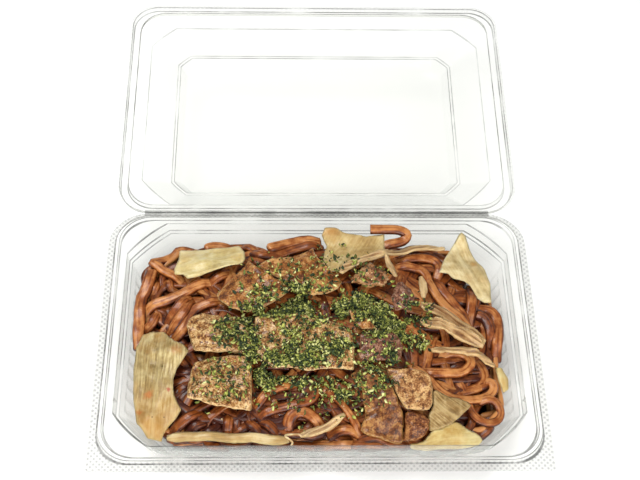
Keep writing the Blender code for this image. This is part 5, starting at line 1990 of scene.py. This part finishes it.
@dataclass
class Garnish:
    """Green laver flakes and crumbs strewn over the middle."""

    ground: Ground
    steepest: float = 1.9
    gap_filled: float = 5.0         # the widest gap that flakes bridge
    gap_drop: float = 1.2           # how far they sag in it
    least_share: float = 0.02       # nothing falls where less than this would
    green: Shower = Shower("green_laver_flakes", 600.0, 0.5, 1.5, 1.0, 1.3, 11)
    pale: Shower = Shower("pale_crumbs", 26.0, 0.5, 1.15, 3.1, 0.5, 23)
    # Where bits lie thick: x, y, reach and share.
    drifts: tuple[tuple[float, ...], ...] = ((-10, 19, 6.5, 1), (-8, 12, 6, 1), (-16, 12, 5.5, 0.9),
        (-25, 11, 5.5, 0.9), (-32, 9, 5, 0.8), (-38, 5, 5.5, 0.5), (-31, 1, 4, 0.4), (-40, -4, 6, 0.4),
        (-32, -8, 5, 0.7), (12, 14, 5.5, 0.9), (21, 17, 6, 1), (27, 12, 6, 1), (20, 8, 4.5, 0.8),
        (31, 5, 6, 0.95), (37, 2, 5, 0.5), (26, -4, 4.5, 0.75), (-14, -3, 3.5, 0.5), (-13, -9, 4, 0.8),
        (-8, -13, 6, 1), (1, -12, 5, 0.8), (9, -11, 5, 0.8), (-12, -18, 5.5, 1), (-20, -20, 6, 1),
        (-27, -19, 5, 0.9), (-23, -25, 4.5, 0.7), (-30, -15, 3.5, 0.7), (-10, -23, 4.5, 0.5),
        (10, -31, 3.2, 0.9), (24, -21, 5, 0.3), (31, -14, 4, 0.4), (-44, -26, 12, 0.1),
        (-8, 0, 17, 0.14), (45, 9, 6, 0.35), (46, -3, 6, 0.25), (3, -25, 7, 0.3), (18, -29, 7, 0.2),
        (24, -28, 8, 0.2), (-4, 5, 8, 0.3), (-43, 0, 5, 0.35), (-26, 18, 6, 0.3), (0, 22, 7, 0.15),
        (24, -24, 5, 0.2), (40, 8, 6, 0.45), (0, 2, 42, 0.08))

    def build(self) -> None:
        """Strews the flakes, then the crumbs."""
        # Random tone per flake: real greens in the middle, while the near-black and pale cream ends are
        # painted shade and painted highlight
        green = DryFlake("dried_green_laver", ((0.0, "#101A14"), (0.34, "#33441F"), (0.52, "#6C7630"),
            (0.74, "#B9BC58"), (0.97, "#F4F2B0"))).build()
        pale = DryFlake("pale_crumb", ((0.0, "#A87A48"), (0.5, "#D2AC74"), (1.0, "#EBD6A6")),
            roughness=0.55).build()
        graph = scatter_graph()
        flakes = self.collect("flakes", [self.flake(k) for k in range(5)])
        self.strew(self.green, graph, flakes, green)
        crumbs = self.collect("crumbs", [self.crumb(k) for k in range(4)])
        self.strew(self.pale, graph, crumbs, pale)

    @staticmethod
    def collect(name: str, objects: list[bpy.types.Object]) -> bpy.types.Collection:
        """Puts the bits in a collection of their own, out of the scene."""
        group = bpy.data.collections.new(name)
        for obj in objects:
            bpy.context.scene.collection.objects.unlink(obj)
            group.objects.link(obj)
        return group

    @staticmethod
    def flake(kind: int) -> bpy.types.Object:
        """One torn, curled leaf bit about 1.6 mm long."""
        rng = np.random.default_rng(100 + kind)
        long, wide, count = 0.8 + 0.3 * rng.random(), 0.4 + 0.2 * rng.random(), 6
        rim = []
        for k in range(count):
            angle = 2.0 * math.pi * (k + rng.uniform(-0.25, 0.25)) / count
            reach = rng.uniform(0.75, 1.15)
            x, y = long * reach * math.cos(angle), wide * reach * math.sin(angle)
            rim.append((x, y, 0.3 * x * x + rng.uniform(-0.12, 0.25)))
        verts = rim + [(0.0, 0.0, 0.05), (0.0, 0.0, -0.04)]
        faces = [(k, (k + 1) % count, count) for k in range(count)]
        faces += [((k + 1) % count, k, count + 1) for k in range(count)]
        return make_object(f"flake_{kind}", np.array(verts), faces)

    @staticmethod
    def crumb(kind: int) -> bpy.types.Object:
        """One uneven rounded crumb about 1 mm across."""
        rng = np.random.default_rng(300 + kind)
        mesh_verts = [(0.0, 0.0, 1.0)]
        for ring, lift in ((0.8, 0.5), (1.0, -0.15), (0.6, -0.8)):
            for k in range(6):
                a = math.pi * k / 3.0 + 0.5 * lift
                r = ring * rng.uniform(0.75, 1.15)
                mesh_verts.append((r * math.cos(a), r * math.sin(a) * 0.8, lift * 0.7))
        mesh_verts.append((0.0, 0.0, -0.8))
        faces = [(0, 1 + k, 1 + (k + 1) % 6) for k in range(6)]
        for ring in (0, 6):
            faces += [(1 + ring + k, 7 + ring + k, 7 + ring + (k + 1) % 6, 1 + ring + (k + 1) % 6)
                for k in range(6)]
        faces += [(19, 13 + (k + 1) % 6, 13 + k) for k in range(6)]
        return make_object(f"crumb_{kind}", 0.5 * np.array(mesh_verts), faces)

    def landing(self) -> bpy.types.Object:
        """The surface that catches the bits, with how thickly they fall on it."""
        ground = self.ground
        nx, ny = ground.z.shape
        z = self.bridge(ground.z)
        share = np.zeros(z.size)
        for x, y, reach, most in self.drifts:
            away = np.hypot(ground.places[:, 0] - x, ground.places[:, 1] - y)
            share = np.maximum(share, most * np.exp(-(away / reach) ** 3))
        clumps = ripple(ground.places, 5.0, 40.0) + 0.7 * ripple(ground.places, 2.2, 41.0)
        share *= np.clip(0.8 + 1.2 * clumps, 0.05, 2.0)
        steep = np.maximum(np.abs(np.gradient(z, ground.PITCH, axis=0)),
            np.abs(np.gradient(z, ground.PITCH, axis=1)))
        share = share.reshape(z.shape) * (steep < self.steepest)
        index = np.arange(nx * ny).reshape(nx, ny)
        faces = np.stack([index[:-1, :-1], index[1:, :-1], index[1:, 1:], index[:-1, 1:]],
            axis=2).reshape(-1, 4)
        return make_object("landing", np.column_stack([ground.places, z.ravel()]), faces, None,
            {"shower": np.where(share > self.least_share, share, 0.0).ravel()})

    def bridge(self, z: np.ndarray) -> np.ndarray:
        """The ground with its narrow gaps filled, as the flakes heap up in them."""
        span = 2 * int(round(self.gap_filled / Ground.PITCH / 2.0)) + 1
        pad = span // 2

        def sweep(grid: np.ndarray, pick: Callable[..., np.ndarray]) -> np.ndarray:
            """Highest or lowest neighbour of each cell."""
            wide = np.pad(grid, pad, mode="edge")
            views = np.lib.stride_tricks.sliding_window_view(wide, (span, span))
            return pick(views, axis=(2, 3))

        closed = sweep(sweep(z, np.max), np.min)
        return np.maximum(z, closed - self.gap_drop)

    def strew(self, shower: Shower, graph: Graph, bits: bpy.types.Collection,
            material: bpy.types.Material) -> None:
        """Strews one kind of bit and freezes it.

        Args:
            shower: How thickly and how evenly it falls.
            graph: The scatter graph.
            bits: The shapes to pick from.
            material: Their finish.
        """
        piece = graph.freeze(self.landing(), shower.piece,
            {"Bits": bits, "Per Area": shower.per_cm2 * 1e4, "Smallest": shower.smallest,
            "Largest": shower.largest, "Tilt": shower.tilt, "Lift": shower.lift * MM,
            "Seed": shower.seed, "Material": material})
        finish_piece(piece, Body.TRAY, Slot.CABBAGE)


# ------------------------------------------------------------------------ main


def main() -> None:
    """Builds the studio, the pack and the food in order."""
    logging.basicConfig(level=logging.INFO, format="%(name)s: %(message)s")
    Studio().build()
    pack = Pack()
    pack.build()
    toppings = Toppings()
    toppings.build()
    bed = NoodleBed(pack, toppings)
    bed.build()
    for piece in toppings.pieces:
        bed.ground.raise_to_piece(piece)
    bed.add_curl(CURL, FriedNoodle(name="pale_sprout", dark="#7A4A24", middle="#BE9664",
        light="#E2CA9C").build())
    Garnish(bed.ground).build()
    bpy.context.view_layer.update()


if __name__ == "__main__":
    main()
